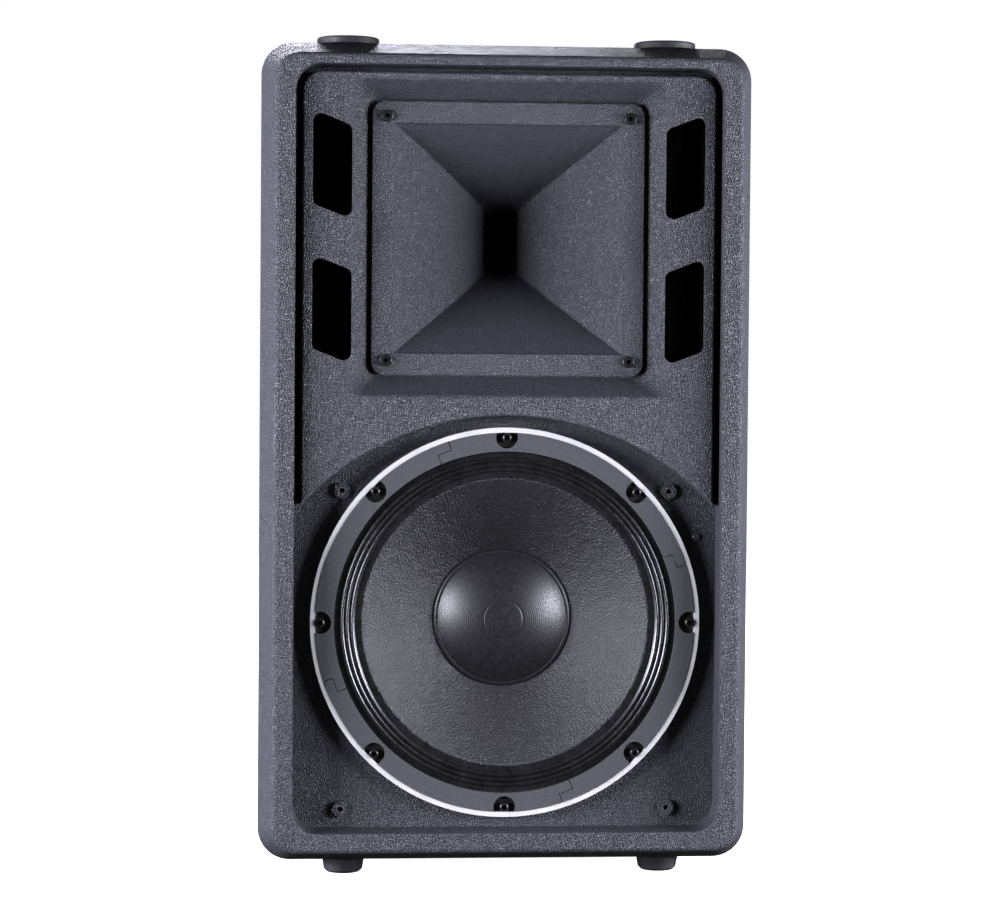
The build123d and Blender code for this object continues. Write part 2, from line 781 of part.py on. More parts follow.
basket_blank = turned("basket_blank", [
    (woofer_flange_radius, floor_y),
    (woofer_flange_radius, flange_front),
    (ledge_radius, flange_front),
    (ledge_radius, ledge_y),
    (basket_inner, ledge_y),
    (base_radius - 4, shelf_y),
    (base_radius - 14, shelf_y),
    (base_radius - 14, basket_base_y),
    (gap_outer + 5, basket_base_y),
    (gap_outer + 5, basket_base_y + basket_base_thickness),
    (base_radius, basket_base_y + basket_base_thickness),
    (base_radius, shelf_y + 3),
    (basket_opening - 1, floor_y + 1),
    (basket_opening - 1, floor_y),
], woofer_z, write=False)
window_count = 6
window_front = floor_y + 12.0
window_rear = shelf_y - 6.0
with BuildPart() as woofer_basket:
    add(basket_blank)
    with BuildSketch(facing(window_front)):
        with Locations((0, woofer_z)):
            with PolarLocations(0, window_count):
                with Locations((base_radius + 20, 0)):
                    RectangleRounded(70, 74, 12)
    extrude(amount=-(window_rear - window_front), mode=Mode.SUBTRACT)
    with BuildSketch(facing(flange_front)):
        with Locations((0, woofer_z)):
            with PolarLocations(screw_circle, woofer_screw_count):
                Circle(woofer_screw_radius + 0.2)
    extrude(amount=-(floor_y - flange_front), mode=Mode.SUBTRACT)
finish(woofer_basket.part, "woofer_basket")

disc_ring(
    "woofer_trim_ring", woofer_flange_radius, woofer_flange_radius + trim_ring_width,
    gasket_front + 0.5, floor_y, woofer_z,
)

# Gasket: four pieces that meet in stepped joints.
gasket_pieces = 4
gasket_start = 22.5
gasket_step = 4.5
gasket_joint = 0.25
gasket_mid = (gasket_inner + woofer_flange_radius) / 2
notch_radius = 8.8


def gasket_sector(inner, outer, start, end):
    """Flat sector between two radii and two angles in degrees, about the origin."""
    with BuildSketch() as sector:
        with BuildLine():
            CenterArc((0, 0), outer, start, end - start)
            CenterArc((0, 0), inner, start, end - start)
            for angle in (start, end):
                Line(
                    (inner * cos(radians(angle)), inner * sin(radians(angle))),
                    (outer * cos(radians(angle)), outer * sin(radians(angle))),
                )
        make_face()
    return sector.sketch


with BuildPart() as woofer_gasket:
    with BuildSketch(facing(gasket_front)):
        with Locations((0, woofer_z)):
            for piece in range(gasket_pieces):
                start = gasket_start + piece * 360 / gasket_pieces
                end = start + 360 / gasket_pieces - gasket_joint
                inner_edge = gasket_mid - gasket_joint
                outer_edge = gasket_mid + gasket_joint
                add(gasket_sector(gasket_inner, inner_edge, start, end))
                add(gasket_sector(inner_edge, outer_edge, start, end - gasket_step))
                add(gasket_sector(
                    outer_edge, woofer_flange_radius, start - gasket_step, end - gasket_step
                ))
            with PolarLocations(screw_circle, woofer_screw_count):
                Circle(notch_radius, mode=Mode.SUBTRACT)
    extrude(amount=-(flange_front - gasket_front))
finish(woofer_gasket.part, "woofer_gasket")

screw_angles = [2 * pi * k / woofer_screw_count for k in range(woofer_screw_count)]
woofer_screw_places = [
    (screw_circle * cos(angle), woofer_z + screw_circle * sin(angle)) for angle in screw_angles
]
screws(
    "woofer_screws", front_planes(woofer_screw_places, flange_front),
    woofer_screw_radius - 0.1, 18, 3.8, 5.0, 2.2,
)

# Surround: three rolls of treated cloth between the cone and the flange's ledge.
surround_thickness = 0.7
surround_inner = cone_edge_radius - 4.0
roll_start = cone_edge_radius + 1.0
roll_end = basket_inner + 1.0
roll_count = 3
roll_pitch = (roll_end - roll_start) / roll_count
surround_y = ledge_y
with BuildPart() as woofer_surround:
    with BuildSketch(Plane(origin=(0, 0, woofer_z), x_dir=(1, 0, 0), z_dir=(0, 0, 1))):
        with BuildLine():
            front = surround_y - surround_thickness
            for k in range(roll_count):
                a = roll_start + k * roll_pitch
                ThreePointArc((a, front), (a + roll_pitch / 2, front - roll_pitch / 2), (a + roll_pitch, front))
            Polyline(
                (roll_end, front), (ledge_radius - fit, front), (ledge_radius - fit, surround_y),
                (roll_end - surround_thickness, surround_y),
            )
            for k in reversed(range(roll_count)):
                a = roll_start + k * roll_pitch + surround_thickness
                b = a + roll_pitch - 2 * surround_thickness
                ThreePointArc((b, surround_y), ((a + b) / 2, surround_y - (b - a) / 2), (a, surround_y))
                if k:
                    Line((a, surround_y), (a - 2 * surround_thickness, surround_y))
            Polyline(
                (roll_start + surround_thickness, surround_y), (surround_inner, surround_y),
                (surround_inner, front), (roll_start, front),
            )
        make_face()
    revolve(axis=woofer_axis)
finish(woofer_surround.part, "woofer_surround")

# Cone: a straight-sided paper cone with a flat rim under the surround.
cone_front = surround_y + glue_gap
cone_flat = 5.0


def cone_depth(radius):
    """Depth of the cone's front face at a radius."""
    return cone_front + cone_slope * (cone_edge_radius - radius)


turned("woofer_cone", [
    (cone_edge_radius, cone_front),
    (cone_edge_radius - cone_flat, cone_front),
    (coil_radius, cone_depth(coil_radius + cone_flat)),
    (coil_radius, cone_depth(coil_radius + cone_flat) + cone_thickness),
    (cone_edge_radius - cone_flat, cone_front + cone_thickness),
    (cone_edge_radius, cone_front + cone_thickness),
], woofer_z)

cap_thickness = 0.8


def dome(name, rim_radius, rise, thickness, rim_y, way, axis_z):
    """Spherical shell: its rim lies at rim_y and its crown rises towards way (-1 front, 1 rear)."""
    ball = (rim_radius ** 2 + rise ** 2) / (2 * rise)
    centre = rim_y - way * (ball - rise)
    spread = asin(rim_radius / ball)

    def at(radius, angle):
        return radius * sin(angle), centre + way * radius * cos(angle)

    with BuildPart() as shell:
        with BuildSketch(Plane(origin=(0, 0, axis_z), x_dir=(1, 0, 0), z_dir=(0, 0, 1))):
            with BuildLine():
                ThreePointArc(at(ball, 0), at(ball, spread / 2), at(ball, spread))
                Line(at(ball, spread), at(ball - thickness, spread))
                inner = ball - thickness
                ThreePointArc(at(inner, spread), at(inner, spread / 2), at(inner, 0))
                Line(at(inner, 0), at(ball, 0))
            make_face()
        revolve(axis=Axis((0, 0, axis_z), (0, 1, 0)))
    finish(shell.part, name)


cap_rim_y = cone_depth(dust_cap_radius + cone_flat) - cap_thickness - glue_gap
dome("woofer_dust_cap", dust_cap_radius, dust_cap_rise, cap_thickness, cap_rim_y, -1, woofer_z)

former_front = cone_depth(coil_radius + cone_flat) - 2
coil_middle = basket_base_y + basket_base_thickness + top_plate_thickness / 2
coil_length = 13.0
former_wall = 0.6
coil_wall = 0.7
disc_ring(
    "voice_coil_former", coil_radius - former_wall, coil_radius,
    former_front, coil_middle + coil_length / 2 + 1, woofer_z,
)
disc_ring(
    "voice_coil", coil_radius, coil_radius + coil_wall,
    coil_middle - coil_length / 2, coil_middle + coil_length / 2, woofer_z,
)

# Spider: a corrugated disc between the former and the basket's shelf.
spider_thickness = 0.6
spider_waves = 4
spider_inner = coil_radius + fit
spider_flat = base_radius - 13.5
spider_step = (spider_flat - spider_inner - 4) / (2 * spider_waves)
spider_points = [(spider_inner, shelf_y)]
for k in range(2 * spider_waves + 1):
    swing = 1.6 if k % 2 else -1.6
    spider_points.append((spider_inner + 4 + k * spider_step, shelf_y - 1.8 + swing))
spider_points.append((base_radius - 5, shelf_y - 0.2))
spider_points[-2] = (spider_flat, shelf_y - 0.2)
spider_back = [(r, y) for r, y in spider_points]
spider_front = [(r, y - spider_thickness) for r, y in reversed(spider_points)]
turned("spider", spider_back + spider_front, woofer_z)

disc_ring(
    "woofer_top_plate", gap_outer, 75, basket_base_y + basket_base_thickness, magnet_y, woofer_z
)
disc_ring("woofer_magnet", 45, magnet_radius, magnet_y, back_plate_y, woofer_z)
vent_radius = 11.0
turned("woofer_back_plate", [
    (vent_radius, basket_base_y + basket_base_thickness),
    (gap_inner, basket_base_y + basket_base_thickness),
    (gap_inner, back_plate_y),
    (78, back_plate_y),
    (78, back_plate_y + back_plate_thickness - 3),
    (75, back_plate_y + back_plate_thickness),
    (vent_radius, back_plate_y + back_plate_thickness),
], woofer_z)

terminal_y = basket_base_y - 2
with BuildPart() as woofer_terminals:
    with BuildSketch(Plane.XY.offset(woofer_z + base_radius)):
        with Locations((0, terminal_y)):
            RectangleRounded(30, 6, 1)
    extrude(amount=3)
    with BuildSketch(Plane.XY.offset(woofer_z + base_radius + 3)):
        with Locations((-8, terminal_y), (8, terminal_y)):
            Rectangle(6.3, 0.8)
    extrude(amount=9)
finish(woofer_terminals.part, "woofer_terminals")

# ---------------------------------------------------------------- horn
horn_gasket_thickness = 1.5
horn_flange_thickness = 4.0
horn_back = floor_y - horn_gasket_thickness
horn_front = horn_back - horn_flange_thickness
throat_y = horn_front + horn_flare_depth
adapter_length = 30.0
horn_rear = throat_y + adapter_length
horn_stations = [
    (horn_front, horn_mouth, horn_mouth, 1.0),
    (horn_front + 0.45 * horn_flare_depth, horn_mouth * 0.53, horn_mouth * 0.6, 3.0),
    (horn_front + 0.82 * horn_flare_depth, throat_width * 1.35, throat_height * 1.3, 4.0),
    (throat_y, throat_width, throat_height, 5.0),
]


def horn_space(grow):
    """The horn's air space from mouth to throat, grown outwards by grow."""
    with BuildPart() as space:
        for y, width, height, radius in horn_stations:
            with BuildSketch(facing(y)):
                with Locations((0, horn_z)):
                    RectangleRounded(width + 2 * grow, height + 2 * grow, radius + grow)
        loft(ruled=True)
        with BuildSketch(facing(throat_y)):
            with Locations((0, horn_z)):
                RectangleRounded(throat_width + 2 * grow, throat_height + 2 * grow, 5 + grow)
        with BuildSketch(facing(horn_rear)):
            with Locations((0, horn_z)):
                Circle(driver_throat_radius + grow)
        loft()
    return space.part


hf_bolt_radius = 2.4
hf_bolt_circle = driver_radius - 9.0
hf_bolt_count = 3
hf_bolt_places = [
    (hf_bolt_circle * cos(2 * pi * k / hf_bolt_count + pi / 2),
     horn_z + hf_bolt_circle * sin(2 * pi * k / hf_bolt_count + pi / 2))
    for k in range(hf_bolt_count)
]
horn_rear_flange = 6.0
outer_horn = horn_space(horn_wall)
inner_horn = horn_space(0)
with BuildPart() as horn:
    add(outer_horn)
    with BuildSketch(facing(horn_front)):
        Rectangle(600, 2000)
    extrude(amount=40, mode=Mode.SUBTRACT)
    with BuildSketch(facing(horn_front)):
        with Locations((0, horn_z)):
            RectangleRounded(horn_mouth + 2, horn_mouth + 2, 2)
    with BuildSketch(facing(horn_front)):
        with Locations((0, horn_z)):
            RectangleRounded(horn_flange, horn_flange, 10)
    extrude(amount=-horn_flange_thickness)
    fillet(horn.edges().group_by(Axis.Y)[0], 1.0)
    with BuildSketch(facing(horn_rear)):
        with Locations((0, horn_z)):
            Circle(driver_radius - 3)
        with Locations(*hf_bolt_places):
            Circle(hf_bolt_radius + screw_clearance, mode=Mode.SUBTRACT)
    extrude(amount=horn_rear_flange)
    add(inner_horn, mode=Mode.SUBTRACT)
    with BuildSketch(facing(horn_front)):
        with Locations((0, horn_z)):
            with GridLocations(horn_screw_spacing, horn_screw_spacing, 2, 2):
                Circle(horn_screw_radius + screw_clearance)
    extrude(amount=-horn_flange_thickness, mode=Mode.SUBTRACT)
finish(horn.part, "horn")

with BuildPart() as horn_gasket:
    with BuildSketch(facing(horn_back)):
        with Locations((0, horn_z)):
            RectangleRounded(horn_flange - 2, horn_flange - 2, 9)
            RectangleRounded(horn_opening + 6, horn_opening + 6, 4, mode=Mode.SUBTRACT)
            with GridLocations(horn_screw_spacing, horn_screw_spacing, 2, 2):
                Circle(horn_screw_radius + screw_clearance, mode=Mode.SUBTRACT)
    extrude(amount=-horn_gasket_thickness)
finish(horn_gasket.part, "horn_gasket")

screws(
    "horn_screws",
    front_planes(grid(horn_screw_spacing, horn_screw_spacing, 0, horn_z), horn_front),
    horn_screw_radius - 0.05, 14, 4.8, 3.0, 2.0,
)

# ---------------------------------------------------------------- compression driver
hf_pole_radius = 17.0
hf_coil_radius = 17.3
hf_gap_radius = 18.4
hf_plate_thickness = 7.0
hf_magnet_thickness = 16.0
hf_top_thickness = 8.0
hf_magnet_y = horn_rear + hf_plate_thickness
hf_top_y = hf_magnet_y + hf_magnet_thickness
hf_rim_y = hf_top_y + hf_top_thickness
hf_dome_rise = 5.0
pole_plate_blank = turned("hf_pole_plate", [
    (driver_throat_radius, horn_rear),
    (driver_radius, horn_rear),
    (driver_radius, hf_magnet_y),
    (hf_pole_radius, hf_magnet_y),
    (hf_pole_radius, hf_rim_y - 0.5),
    (driver_throat_radius - 3, hf_rim_y - 0.5),
], horn_z, write=False)
with BuildPart() as hf_pole_plate:
    add(pole_plate_blank)
    with BuildSketch(facing(horn_rear)):
        with Locations(*hf_bolt_places):
            Circle(hf_bolt_radius)
    extrude(amount=-5.5, mode=Mode.SUBTRACT)
finish(hf_pole_plate.part, "hf_pole_plate")
disc_ring("hf_magnet", 24, driver_radius, hf_magnet_y, hf_top_y, horn_z)
disc_ring("hf_top_plate", hf_gap_radius, driver_radius, hf_top_y, hf_rim_y, horn_z)
hf_dome_y = hf_rim_y + 1.5
dome("hf_diaphragm", hf_coil_radius + 0.5, hf_dome_rise, 0.4, hf_dome_y, 1, horn_z)
disc_ring(
    "hf_voice_coil", hf_coil_radius, hf_coil_radius + 0.5, hf_rim_y - 7, hf_rim_y + 1.0, horn_z
)
disc_ring(
    "hf_suspension", hf_coil_radius + 0.8, hf_coil_radius + 12, hf_rim_y, hf_rim_y + 0.4, horn_z
)
turned("hf_rear_cover", [
    (0, hf_rim_y + 14),
    (driver_radius - 4, hf_rim_y + 14),
    (driver_radius - 4, hf_rim_y),
    (driver_radius - 1, hf_rim_y),
    (driver_radius - 1, hf_rim_y + 13),
    (driver_radius - 5, hf_rim_y + 17),
    (0, hf_rim_y + 17),
], horn_z)

screws(
    "hf_driver_bolts", front_planes(hf_bolt_places, horn_rear - horn_rear_flange),
    hf_bolt_radius - 0.05, 11, 4.2, 3.0, 2.0,
)

# ---------------------------------------------------------------- amplifier module
panel_gasket_thickness = 1.5
panel_inner_y = panel_seat_y + panel_gasket_thickness
panel_outer_y = panel_inner_y + panel_thickness
sink_width = panel_width - 28.0
sink_height = 150.0
sink_z = panel_z + 78.0
sink_base = 4.0
sink_fin_height = 13.0
sink_fin_count = 21
sink_fin_thickness = 2.0
inlet_x = -71.0 / 232.0 * panel_width
switch_x = -22.0 / 232.0 * panel_width
input_x = 34.0 / 232.0 * panel_width
output_x = 78.0 / 232.0 * panel_width
inlet_place = (inlet_x, panel_z - 124.0)
switch_place = (switch_x, panel_z - 124.0)
input_place = (input_x, panel_z - 120.0)
output_place = (output_x, panel_z - 120.0)
knob_z = panel_z - 46.0
knob_places = {"level_knob": (input_x, knob_z), "tone_knob": (output_x, knob_z)}
button_place = (switch_x + 12.0, knob_z)
shaft_radius = 3.0
button_size = 8.0
button_travel = 2.0
socket_width = 26.0
socket_height = 31.0
socket_bore = 9.5
socket_body = 12.0
socket_depth = 24.0
inlet_width = 48.0
inlet_height = 40.0
inlet_body_width = 30.0
inlet_body_height = 34.0
inlet_body_depth = 26.0
inlet_hole = (24.5, 16.5)
inlet_hole_rise = 6.0
drawer_size = (20.0, 6.5)
drawer_drop = -10.5
drawer_depth = 20.0
flange_thickness = 2.5
rocker_radius = 10.0
rocker_width = 14.0
switch_opening = (rocker_width + 2 * fit, 2 * rocker_radius + 2 * fit)
switch_flange = (22.0, 30.0)
switch_depth = 22.0
transformer_radius = 48.0
transformer_hole = 13.0
transformer_height = 38.0
board_size = (panel_width - 36.0, 128.0)
board_z = panel_z - 84.0
board_thickness = 1.6
board_y = panel_inner_y - 40.0
standoff_places = grid(board_size[0] - 10, board_size[1] - 10, 0, board_z)
tab_size = (7.0, 4.0)
tab_travel = 1.5
tab_rise = 12.0


def rear_slab(x, z, width, height, radius, front, rear, mode=Mode.ADD):
    """Rounded slab at (x, z) between two depths, joined to the part in hand."""
    with BuildSketch(facing(front)) as outline:
        with Locations((x, z)):
            RectangleRounded(width, height, radius)
    extrude(outline.sketch, amount=-(rear - front), mode=mode)


def rear_rod(x, z, radius, front, rear, mode=Mode.ADD):
    """Round rod along the depth at (x, z), joined to the part in hand."""
    with BuildSketch(facing(front)) as outline:
        with Locations((x, z)):
            Circle(radius)
    extrude(outline.sketch, amount=-(rear - front), mode=mode)


with BuildPart() as amp_gasket:
    rear_slab(0, panel_z, panel_width, panel_height, 5, panel_seat_y, panel_inner_y)
    rear_slab(
        0, panel_z, pocket_width - 2 * pocket_lip, pocket_height - 2 * pocket_lip, pocket_lip_radius,
        panel_seat_y, panel_inner_y, Mode.SUBTRACT,
    )
    for x, z in panel_screw_places:
        rear_rod(x, z, panel_screw_radius + 0.2, panel_seat_y, panel_inner_y, Mode.SUBTRACT)
finish(amp_gasket.part, "amp_gasket")

with BuildPart() as amp_panel:
    rear_slab(0, panel_z, panel_width, panel_height, 5, panel_inner_y, panel_outer_y)
    cut = (panel_inner_y, panel_outer_y, Mode.SUBTRACT)
    for x, z in panel_screw_places:
        rear_rod(x, z, panel_screw_radius + 0.2, *cut)
    for x, z in knob_places.values():
        rear_rod(x, z, shaft_radius + 0.5, *cut)
    for x, z in (input_place, output_place):
        rear_rod(x, z, socket_body, *cut)
    tab_place = (input_place[0], input_place[1] + tab_rise)
    rear_slab(*tab_place, tab_size[0] + 1, tab_size[1] + 1, 0.4, *cut)
    rear_slab(*inlet_place, inlet_body_width, inlet_body_height, 2, *cut)
    rear_slab(*switch_place, switch_opening[0] + 3, switch_opening[1] + 3, 2, *cut)
    rear_slab(*button_place, button_size + 2 * fit, button_size + 2 * fit, 1, *cut)
    rear_rod(0, sink_z, 3.2, *cut)
finish(amp_panel.part, "amp_panel")

screws(
    "amp_screws", rear_planes(panel_screw_places, panel_outer_y),
    panel_screw_radius - 0.05, panel_thickness + 6, 3.8, 2.4, 1.6,
)

with BuildPart() as heatsink:
    rear_slab(0, sink_z, sink_width, sink_height, 2, panel_outer_y, panel_outer_y + sink_base)
    fin_pitch = (sink_width - sink_fin_thickness - 4) / (sink_fin_count - 1)
    with BuildSketch(facing(panel_outer_y + sink_base)):
        with Locations((0, sink_z)):
            with GridLocations(fin_pitch, 1, sink_fin_count, 1):
                Rectangle(sink_fin_thickness, sink_height)
    extrude(amount=-sink_fin_height)
finish(heatsink.part, "heatsink")

with BuildPart() as signal_sockets:
    for x, z in (input_place, output_place):
        rear_slab(
            x, z, socket_width, socket_height, 3, panel_outer_y, panel_outer_y + flange_thickness
        )
        rear_rod(x, z, socket_body - 0.2, panel_outer_y - socket_depth, panel_outer_y)
        rear_rod(
            x, z, socket_bore, panel_outer_y - socket_depth + 3,
            panel_outer_y + flange_thickness, Mode.SUBTRACT,
        )
    rear_slab(
        input_place[0], input_place[1] + tab_rise, tab_size[0] + 0.4, tab_size[1] + 0.4, 0.4,
        panel_outer_y - 6, panel_outer_y + flange_thickness, Mode.SUBTRACT,
    )
    for angle in (90, 210, 330):
        x = output_place[0] + 4.5 * cos(radians(angle))
        z = output_place[1] + 4.5 * sin(radians(angle))
        rear_rod(x, z, 1.2, panel_outer_y - socket_depth + 2, panel_outer_y - 4)
finish(signal_sockets.part, "signal_sockets")

with BuildPart() as release_tab:
    rear_slab(
        input_place[0], input_place[1] + tab_rise, *tab_size, 0.4,
        panel_outer_y - 3.5, panel_outer_y + flange_thickness + tab_travel,
    )
finish(release_tab.part, "release_tab")

with BuildPart() as mains_inlet:
    x, z = inlet_place
    rear_slab(x, z, inlet_width, inlet_height, 4, panel_outer_y, panel_outer_y + flange_thickness)
    rear_slab(
        x, z, inlet_body_width - 0.4, inlet_body_height - 0.4, 2,
        panel_outer_y - inlet_body_depth, panel_outer_y,
    )
    rear_slab(
        x, z + inlet_hole_rise, *inlet_hole, 3,
        panel_outer_y - 16, panel_outer_y + flange_thickness, Mode.SUBTRACT,
    )
    rear_slab(
        x, z + drawer_drop, drawer_size[0] + 0.4, drawer_size[1] + 0.4, 0.5,
        panel_outer_y - drawer_depth - 0.5, panel_outer_y + flange_thickness, Mode.SUBTRACT,
    )
    for dx, dz in ((-7, 0), (7, 0), (0, 3)):
        rear_slab(
            x + dx, z + inlet_hole_rise + dz, 2, 4, 0.3, panel_outer_y - 17, panel_outer_y - 2
        )
finish(mains_inlet.part, "mains_inlet")

with BuildPart() as fuse_drawer:
    rear_slab(
        inlet_place[0], inlet_place[1] + drawer_drop, *drawer_size, 0.5,
        panel_outer_y - drawer_depth, panel_outer_y + flange_thickness + 1.2,
    )
    rear_slab(
        inlet_place[0], inlet_place[1] + drawer_drop, drawer_size[0] - 6, drawer_size[1], 0.5,
        panel_outer_y - drawer_depth + 3, panel_outer_y - 3, Mode.SUBTRACT,
    )
finish(fuse_drawer.part, "fuse_drawer")

rocker_y = panel_outer_y - 4.0
with BuildPart() as switch_frame:
    x, z = switch_place
    rear_slab(x, z, *switch_flange, 2, panel_outer_y, panel_outer_y + flange_thickness)
    rear_slab(
        x, z, switch_opening[0] + 2.6, switch_opening[1] + 2.6, 2,
        panel_outer_y - switch_depth, panel_outer_y,
    )
    rear_slab(
        x, z, *switch_opening, 1,
        panel_outer_y - switch_depth + 2, panel_outer_y + flange_thickness, Mode.SUBTRACT,
    )
finish(switch_frame.part, "switch_frame")

rocker_swing = 12.0
rocker_face = 9.0
with BuildPart() as rocker:
    with BuildSketch(Plane(
        origin=(switch_place[0] - rocker_width / 2, rocker_y, switch_place[1]),
        x_dir=(0, 1, 0), z_dir=(1, 0, 0),
    )):
        with BuildLine():
            ThreePointArc(
                (rocker_face - 2, rocker_radius - 3.2), (-6, 0), (rocker_face - 2, -rocker_radius + 3.2)
            )
            Polyline(
                (rocker_face - 2, -rocker_radius + 3.2), (rocker_face - 2.6, 0),
                (rocker_face - 2, rocker_radius - 3.2),
            )
        make_face()
    extrude(amount=rocker_width)
rocker_rest = rocker.part.rotate(
    Axis((0, rocker_y, switch_place[1]), (1, 0, 0)), rocker_swing
)
finish(rocker_rest, "rocker")

knob_gap = 1.0
knob_flutes = 18
for name, (x, z) in knob_places.items():
    with BuildPart() as knob:
        rear_rod(x, z, knob_radius, panel_outer_y + knob_gap, panel_outer_y + knob_gap + knob_height)
        chamfer(knob.edges().group_by(Axis.Y)[-1], 1.2)
        with BuildSketch(facing(panel_outer_y + knob_gap + 3)):
            with Locations((x, z)):
                with PolarLocations(knob_radius + 0.4, knob_flutes):
                    Circle(0.9)
        extrude(amount=-knob_height, mode=Mode.SUBTRACT)
        rear_slab(
            x, z + knob_radius * 0.55, 1.4, knob_radius * 0.8, 0.5,
            panel_outer_y + knob_gap + knob_height - 1,
            panel_outer_y + knob_gap + knob_height + 1, Mode.SUBTRACT,
        )
        rear_rod(x, z, shaft_radius, panel_inner_y - 9, panel_outer_y + knob_gap)
    finish(knob.part, name)

with BuildPart() as potentiometers:
    for x, z in knob_places.values():
        rear_slab(x, z, 17, 20, 1, panel_inner_y - 12, panel_inner_y)
        rear_rod(x, z, shaft_radius + running, panel_inner_y - 10, panel_inner_y, Mode.SUBTRACT)
finish(potentiometers.part, "potentiometers")

with BuildPart() as push_button:
    rear_slab(
        *button_place, button_size, button_size, 0.8,
        panel_inner_y - 3, panel_outer_y + 1.5 + button_travel,
    )
    fillet(push_button.edges().group_by(Axis.Y)[-1], 0.6)
finish(push_button.part, "push_button")

with BuildPart() as main_board:
    rear_slab(0, board_z, *board_size, 3, board_y, board_y + board_thickness)
    for x, z in standoff_places:
        rear_rod(x, z, 1.6, board_y, board_y + board_thickness, Mode.SUBTRACT)
    x, z = button_place
    rear_slab(
        x, z, button_size + 4, button_size + 4, 1, board_y + board_thickness,
        panel_inner_y - 3 - button_travel - 1,
    )
finish(main_board.part, "main_board")

with BuildPart() as board_standoffs:
    for x, z in standoff_places:
        rear_rod(x, z, 3.5, board_y + board_thickness, panel_inner_y)
        rear_rod(x, z, 1.55, board_y, board_y + board_thickness)
        rear_rod(x, z, 3.0, board_y - 2, board_y)
finish(board_standoffs.part, "board_standoffs")

cap_radius = 11.0
cap_height = 34.0
with BuildPart() as capacitors:
    for x in (-60, -34, 34, 60):
        rear_rod(x, board_z - 20, cap_radius, board_y - cap_height, board_y)
    fillet(capacitors.edges().group_by(Axis.Y)[0], 1.5)
finish(capacitors.part, "capacitors")

transformer_front = panel_inner_y - transformer_height
with BuildPart() as transformer:
    rear_rod(0, sink_z, transformer_radius, transformer_front, panel_inner_y)
    rear_rod(0, sink_z, transformer_hole, transformer_front, panel_inner_y, Mode.SUBTRACT)
    fillet(transformer.edges().group_by(Axis.Y)[0], 8)
finish(transformer.part, "transformer")

with BuildPart() as transformer_bolt:
    rear_rod(0, sink_z, 3.0, transformer_front - 8, panel_outer_y)
    rear_rod(0, sink_z, 26, transformer_front - 2, transformer_front)
    with BuildSketch(facing(transformer_front - 8)):
        with Locations((0, sink_z)):
            RegularPolygon(5.8, 6)
    extrude(amount=-6)
finish(transformer_bolt.part, "transformer_bolt")
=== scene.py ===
import math

import bmesh
import bpy
import numpy as np
from mathutils import Matrix, Vector


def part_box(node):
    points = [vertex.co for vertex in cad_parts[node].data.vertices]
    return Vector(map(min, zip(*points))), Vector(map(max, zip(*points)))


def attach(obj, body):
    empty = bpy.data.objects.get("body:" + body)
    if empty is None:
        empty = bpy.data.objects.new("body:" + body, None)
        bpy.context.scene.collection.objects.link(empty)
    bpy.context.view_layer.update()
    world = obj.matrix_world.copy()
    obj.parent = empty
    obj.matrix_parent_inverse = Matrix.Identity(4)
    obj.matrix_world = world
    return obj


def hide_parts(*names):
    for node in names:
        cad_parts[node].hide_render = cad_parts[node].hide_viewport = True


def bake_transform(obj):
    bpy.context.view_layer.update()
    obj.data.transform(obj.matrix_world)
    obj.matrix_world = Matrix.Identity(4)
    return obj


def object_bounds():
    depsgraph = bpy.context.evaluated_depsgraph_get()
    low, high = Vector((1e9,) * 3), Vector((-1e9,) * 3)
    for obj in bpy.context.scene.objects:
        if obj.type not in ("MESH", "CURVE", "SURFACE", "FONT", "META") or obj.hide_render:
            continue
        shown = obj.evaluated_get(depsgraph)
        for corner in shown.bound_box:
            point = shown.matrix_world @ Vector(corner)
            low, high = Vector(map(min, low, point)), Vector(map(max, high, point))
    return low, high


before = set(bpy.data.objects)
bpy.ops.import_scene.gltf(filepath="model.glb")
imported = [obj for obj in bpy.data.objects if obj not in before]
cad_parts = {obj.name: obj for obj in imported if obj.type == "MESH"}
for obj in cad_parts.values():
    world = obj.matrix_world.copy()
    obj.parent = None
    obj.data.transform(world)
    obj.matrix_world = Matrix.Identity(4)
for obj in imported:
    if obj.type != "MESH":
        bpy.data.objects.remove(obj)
cad_low, cad_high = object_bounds()

MM = 0.001


# ---------------------------------------------------------------- cabinet shells
# Front and rear halves, hollow, injection moulded in charcoal polypropylene. The mould is
# etched with a fine leather grain. The halves are screwed together through wells behind.
def new_finish(name, colour, roughness, metallic=0.0, specular=0.5):
    """A finish with one plain shader, whose sockets the patterns below are led into."""
    material = bpy.data.materials.new(name)
    material.use_nodes = True
    shader = material.node_tree.nodes["Principled BSDF"]
    shader.inputs["Base Color"].default_value = (*colour, 1)
    shader.inputs["Roughness"].default_value = roughness
    shader.inputs["Metallic"].default_value = metallic
    shader.inputs["Specular IOR Level"].default_value = specular
    return material


def noise(material, size, detail=4.0, stretch=(1, 1, 1)):
    """Noise in object coordinates, with features about size metres wide, drawn out by stretch."""
    nodes, links = material.node_tree.nodes, material.node_tree.links
    place = nodes.new("ShaderNodeTexCoord")
    mapping = nodes.new("ShaderNodeMapping")
    mapping.inputs["Scale"].default_value = stretch
    texture = nodes.new("ShaderNodeTexNoise")
    texture.inputs["Scale"].default_value = 1 / size
    texture.inputs["Detail"].default_value = detail
    links.new(place.outputs["Object"], mapping.inputs["Vector"])
    links.new(mapping.outputs["Vector"], texture.inputs["Vector"])
    return texture.outputs["Fac"]


